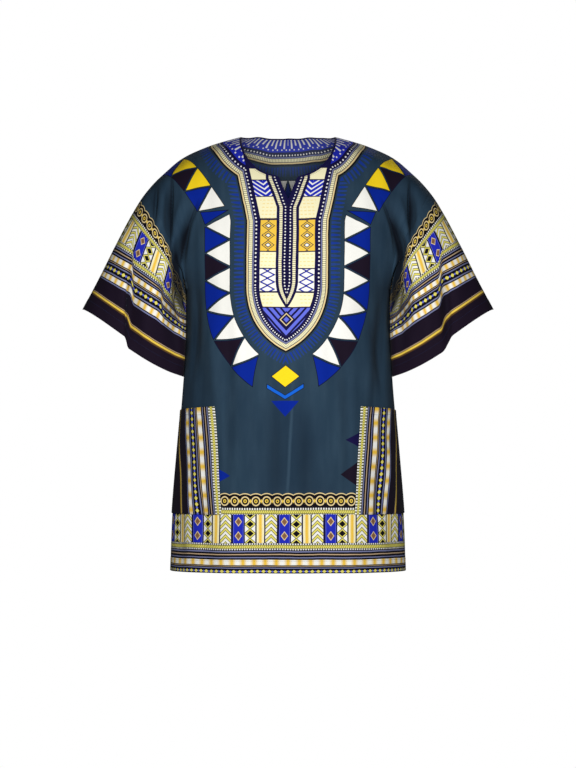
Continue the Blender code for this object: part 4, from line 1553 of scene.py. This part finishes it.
def back_print(tree, cloth, neck_place):
    """The back: the collar and its rings, and the border at the hem."""
    across, up = millimetres(tree, cloth)
    neck, turn = neck_fields(tree, neck_place)
    yoke = Yoke(across, up, neck, turn, front=False)
    paint = ground(tree, cloth)
    rim_marks(paint, yoke)
    teeth(paint, yoke)
    yoke_bands(paint, yoke)
    collar_fill(paint, yoke)
    lay_hem(paint, across, up)
    return paint


def lay_border(paint, along, height, dash_pitch):
    """The border over a ground, up to its scalloped edge."""
    paint.lay(below(height - scallop(along), SCALLOP_LINE), border(paint.tree, along, height, dash_pitch))


def lay_hem(paint, across, up):
    """The border at the foot of the body, whose lowest stripes are turned under."""
    rise = up - HEM_CORD
    height = most(rise, 0.0) * HEM_SCALE + least(rise, 0.0) * HEM_FOOT_SCALE + BORDER_CORDS[0][0]
    height = least(rise + HEM_TAIL, 0.0) * HEM_TAIL_SCALE + height
    lay_border(paint, across, height, HEM_DASH_PITCH)


def sleeve_print(tree, cloth, neck_place):
    """The sleeve: the whole border, with the plain ground above it."""
    around, height = millimetres(tree, cloth)
    paint = ground(tree, cloth)
    lay_border(paint, around, height, DASH_PITCH)
    return paint


def pocket_print(tree, cloth, neck_place):
    """The pocket: the border on its side, with rows of ticks along the inner edge."""
    from_edge, up = millimetres(tree, cloth)
    crowding = linear(up - POCKET_EVEN, -POCKET_FLARE, 1.0)
    from_edge = most(from_edge * crowding, POCKET_EDGE)
    paint = border(tree, up, POCKET_START - from_edge, LONG_DASH_PITCH)
    tick = below(from_each(up, POCKET_TICK_PITCH), POCKET_TICK_PITCH * POCKET_TICK_SHARE)
    for middle in POCKET_TICKS:
        row = near(from_edge, middle, POCKET_TICK_HALF)
        paint.lay(row, OLIVE)
        paint.lay(row * tick, WHITE)
    return paint


def plain(colour):
    """A print that is one colour all over."""
    return lambda tree, cloth, neck_place: Paint(tree, colour)


# ---- cotton
def parts_of(tree, vector):
    """The first two numbers of a vector."""
    split = add_node(tree, "ShaderNodeSeparateXYZ", {"Vector": vector})
    return Field(split.outputs["X"]), Field(split.outputs["Y"])


def millimetres(tree, cloth):
    """Cloth coordinates in millimetres, a little unsteady as hand-drawn lines are."""
    noise = add_node(tree, "ShaderNodeTexNoise", {"Vector": cloth, **UNSTEADY_NOISE})
    fields = []
    for part, shade in zip(parts_of(tree, cloth), parts_of(tree, noise.outputs["Color"])):
        unsteady = linear(shade, 2 * UNSTEADY, -UNSTEADY)
        fields.append(linear(part, 1000.0, unsteady))
    return fields


def neck_fields(tree, neck_place):
    """The distance from the neckline in millimetres, and the turn from the front, in degrees."""
    distance, turn = parts_of(tree, neck_place)
    return distance * 1000.0, turn * 360.0


def cotton(name, printed, inside=False):
    """Printed cotton: its print, a fine plain weave with slubs, a slight sheen, and shade painted into its
    creases.
    """
    material = bpy.data.materials.new(name)
    material.use_nodes = True
    tree = material.node_tree
    names = ("Cloth", "Neck", "Crease", "Foot")
    layers = (add_node(tree, "ShaderNodeUVMap", uv_map=layer) for layer in names)
    cloth, neck_place, crease, foot = (layer.outputs["UV"] for layer in layers)
    paint = printed(tree, cloth, neck_place)
    if inside:
        faint = add_node(tree, "ShaderNodeTexNoise", {"Vector": cloth, "Scale": FAINT_SCALE})
        paint.lay(linear(Field(faint.outputs["Fac"]), *FAINT_SHARE), INSIDE_TINT)
    warp, weft = (from_each(part, THREAD) * (2 / THREAD) for part in parts_of(tree, cloth))
    slub = add_node(tree, "ShaderNodeTexNoise", {"Vector": cloth, **SLUB_NOISE})
    height = linear(warp, weft, Field(slub.outputs["Fac"]) * SLUB_HEIGHT)
    paint.lay(linear(height, *WEAVE_SHADE, clamp=True), BLACK)
    # Painted shade: the creases' troughs darkened, and a thin dark line painted along the foot of each sharp
    # crease.
    paint.lay(parts_of(tree, crease)[0] * CREASE_SHADE, SHADE)
    distance, depth = parts_of(tree, foot)
    paint.lay(near(distance * 1000.0, 0, FOOT_HALF, FOOT_SOFT) * depth * FOOT_SHADE, SHADE)
    bump = add_node(tree, "ShaderNodeBump", {"Height": height, **WEAVE_BUMP})
    finish = {"Normal": bump.outputs["Normal"], "Base Color": paint.colour, **COTTON_FINISH}
    set_inputs(tree.nodes["Principled BSDF"], finish)
    return material


def both_sides(name, printed):
    """The cotton of a piece's printed side and of its inside."""
    return [cotton(f"{name}_print", printed), cotton(f"{name}_inside", printed, inside=True)]


# ---- pieces
def neck_coordinates(points, edge):
    """Each point's distance from the round of the neckline, and its turn round the neck from the front."""
    flat = points.reshape(-1, 3)
    nearest = np.full(len(flat), np.inf)
    for place in finely(edge, BINDING_STEP):
        nearest = np.minimum(nearest, np.sum((flat - place) ** 2, axis=1))
    turn = np.arctan2(np.abs(points[..., 0]), -points[..., 1]) / math.tau
    return np.stack([np.sqrt(nearest).reshape(turn.shape), turn], axis=-1)


def neck_edge(grid):
    """The part of a panel's first row that lies on the neck opening."""
    return grid[0, NECK_PART]


def finely(rows, step):
    """A closed run of rows with more put between them, at most a step apart by their first three numbers."""
    finer = []
    for row, after in zip(rows, np.roll(rows, -1, axis=0)):
        count = math.ceil(np.linalg.norm(after[:3] - row[:3]) / step)
        finer.append(row + (after - row) * np.arange(count)[:, None] / count)
    return np.concatenate(finer)


def eased(rows):
    """A closed run of rows, each drawn towards the ones beside it."""
    return (np.roll(rows, 1, axis=0) + 2 * rows + np.roll(rows, -1, axis=0)) / 4


def binding_piece(front, back, materials):
    """The neck binding: a rolled strip with a rounded section, mitred at the slit's corners."""
    with_normals = [np.concatenate([front, panel_normals(front, -1)], axis=-1)]
    with_normals.append(np.concatenate([back, panel_normals(back, 1)], axis=-1))
    front_rows, back_rows = (neck_edge(grid) for grid in with_normals)
    rows = finely(np.concatenate([front_rows, back_rows[-2:0:-1]]), BINDING_STEP)
    edge, normals = np.split(rows, 2, axis=1)
    at_shoulder = np.abs(edge[:, :1]) > BINDING_EASED_OUT
    for easing in range(BINDING_EASINGS):
        normals = unit(eased(normals))
        edge = np.where(at_shoulder, eased(edge), edge)
    before = unit(edge - np.roll(edge, 1, axis=0))
    after = unit(np.roll(edge, -1, axis=0) - edge)
    inward = faced(unit(np.cross(normals, before + after)), edge.mean(axis=0) - edge)
    mitre = inward / np.sqrt((1 + np.sum(before * after, axis=1, keepdims=True)) / 2)
    rings = []
    for turn in np.linspace(0, math.tau, BINDING_SIDES, endpoint=False):
        wide = math.copysign(abs(math.cos(turn)) ** BINDING_ROUNDNESS, math.cos(turn)) * BINDING_WIDTH / 2
        rings.append(edge + mitre * (BINDING_WIDTH / 2 + wide) + normals * math.sin(turn) * BINDING_WALL / 2)
    faces = quads(np.pad(numbered(len(edge), BINDING_SIDES), (0, 1), mode="wrap"))
    run = lengths(np.concatenate([edge, edge[:1]]))
    round_run = np.arange(BINDING_SIDES + 1) * BINDING_GIRTH / BINDING_SIDES
    places = np.stack(np.meshgrid(run, round_run, indexing="ij"), axis=-1).reshape(-1, 2)
    cloth = places[quads(numbered(len(run), len(round_run)))]
    layers = {"Cloth": cloth, "OFBake": cloth / cloth.max(axis=(0, 1))}
    return add_piece("binding", np.stack(rings, axis=1).reshape(-1, 3), faces, layers, materials)


def level_line(grid, out, values, level, thickness):
    """The line on the cloth where a value passes a level in each column of a grid, and its normals."""
    if values[-1].mean() < values[0].mean():
        values, level = -values, -level
    after = np.clip(np.argmax(values > level, axis=0), 1, len(values) - 1)
    column = np.arange(values.shape[1])
    low, high = values[after - 1, column], values[after, column]
    share = np.clip((level - low) / (high - low), 0, 1)[:, None]
    line, normals = (
        (1 - share) * table[after - 1, column] + share * table[after, column] for table in (grid, out)
    )
    return line + normals * thickness / 2, normals


def stitches(name, lines, material):
    """Rows of short stitches along lines on the cloth: rounded bars whose ends dip into it."""
    bars = []
    for points, normals in lines:
        run = lengths(points)
        starts = np.arange(STITCH_PITCH, run[-1] - STITCH_PITCH, STITCH_PITCH)
        along = starts[:, None] + np.array([0, 0.5, 1]) * STITCH_LENGTH
        places = between(run, points, along)
        ups = unit(between(run, normals, along))
        sides = unit(np.cross(places[:, 2:] - places[:, :1], ups))
        centre = places + ups * np.array([-1, 1, -1])[:, None] * STITCH_RISE
        rings = []
        for turn in np.linspace(0, math.tau, STITCH_SIDES, endpoint=False):
            rings.append(centre + (sides * math.cos(turn) + ups * math.sin(turn)) * STITCH_WIDTH / 2)
        bars.append(np.stack(rings, axis=2).reshape(-1, 3))
    vertices = np.concatenate(bars)
    numbers = numbered(3, STITCH_SIDES)
    bar_faces = quads(np.pad(numbers, ((0, 0), (0, 1)), mode="wrap"))[:, [0, 3, 2, 1]]
    firsts = np.arange(0, len(vertices), numbers.size)
    faces = (firsts[:, None, None] + bar_faces).reshape(-1, 4)
    cells = math.ceil(math.sqrt(len(faces)))
    cell = np.stack(np.divmod(np.arange(len(faces)), cells)[::-1], axis=-1)
    place = (cell[:, None] + STITCH_CELL) / cells
    return add_piece(name, vertices, faces, {"Cloth": place * STITCH_LENGTH, "OFBake": place}, [material])


def edge_thickness(from_edge, turned_width):
    """The cloth's thickness: single, and more where the edge is turned under."""
    return CLOTH + TURNED * (1 - smooth(from_edge, turned_width - TURN_EASE, turned_width + TURN_EASE))


def stands_for(piece, node):
    """Hangs a piece under the root, and hides the node of the part that it stands for."""
    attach(piece, "root")
    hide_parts(node)


def panel_piece(name, facing, grid, cloth, edge, printed):
    """The front or the back, from its grid and the whole neck edge, and the lines of its stitches."""
    out = panel_normals(grid, facing)
    thickness = edge_thickness(HEM_DOWN + cloth[..., 1], HEM_TURN)
    round_edge = edge[(edge[:, 1] > 0) | (np.abs(edge[:, 0]) > SLIT_HALF_WIDTH)]
    neck = neck_coordinates(grid, round_edge)
    piece = cloth_piece(name, grid, cloth, out, thickness, both_sides(name, printed), neck)
    stands_for(piece, f"{name}_panel")
    neck_grid = grid[:, NECK_PART]
    from_neck = neck_coordinates(neck_grid, edge)[..., 0]
    seams = [
        level_line(grid, out, cloth[..., 1], HEM_TURN - STITCH_IN - HEM_DOWN, CLOTH + TURNED),
        level_line(neck_grid, out[:, NECK_PART], from_neck, NECK_STITCH_OUT, CLOTH),
    ]
    return piece, seams


def add_sleeve(label, side, materials):
    """A sleeve. Gives back the line of its stitches."""
    grid, cloth = sleeve_grid(side)
    height = cloth[..., 1]
    out = tube_normals(grid)
    thickness = edge_thickness(height, CUFF_TURN)
    piece = cloth_piece(f"sleeve_{label}_cloth", grid, cloth, out, thickness, materials)
    stands_for(piece, f"sleeve_{label}")
    return [level_line(grid, out, height, CUFF_TURN - STITCH_IN, CLOTH + TURNED)]


def add_pocket(label, side, materials):
    """A patch pocket. Gives back the lines of its stitches: foot, turned top and two sides."""
    grid, cloth = pocket_grid(side)
    up = cloth[..., 1]
    from_top = -POCKET_TOP_DOWN - up
    out = normals_of(grid, -1)
    thickness = edge_thickness(from_top, POCKET_TURN)
    piece = cloth_piece(f"pocket_{label}_cloth", grid, cloth, out, thickness, materials)
    stands_for(piece, f"pocket_{label}")
    upright = grid.swapaxes(0, 1), out.swapaxes(0, 1)
    run_in = cloth[..., 0].T
    return [
        level_line(grid, out, up, STITCH_IN - POCKET_FOOT_DOWN, CLOTH),
        level_line(grid, out, from_top, POCKET_TURN - STITCH_IN, CLOTH + TURNED),
        level_line(*upright, run_in, STITCH_IN, CLOTH),
        level_line(*upright, run_in - run_in.max(axis=0), -STITCH_IN, CLOTH),
    ]


def dress():
    """Makes every piece of the shirt and says what it stands for."""
    front, front_cloth = panel_grid(-1)
    back, back_cloth = panel_grid(1)
    edge = np.concatenate([neck_edge(front), neck_edge(back)[::-1]])
    front_piece, seams = panel_piece("front", -1, front, front_cloth, edge, front_print)
    back_piece, back_seams = panel_piece("back", 1, back, back_cloth, edge, back_print)
    seams += back_seams
    sleeve_materials = both_sides("sleeve", sleeve_print)
    pocket_materials = both_sides("pocket", pocket_print)
    for label, side in (("left", 1), ("right", -1)):
        seams += add_sleeve(label, side, sleeve_materials)
        seams += add_pocket(label, side, pocket_materials)
    binding = binding_piece(front, back, [cotton("binding_cotton", plain(NAVY))])
    stands_for(binding, "neck_binding")
    thread = stitches("stitching", seams, cotton("thread_cotton", plain(THREAD_BLUE)))
    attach(thread, "root")


add_world()
add_stage()
for name, place, aim, size, power in LIGHTS:
    add_light(name, place, aim, size, power)
add_camera()
dress()
bpy.context.scene.view_settings.view_transform = "Standard"
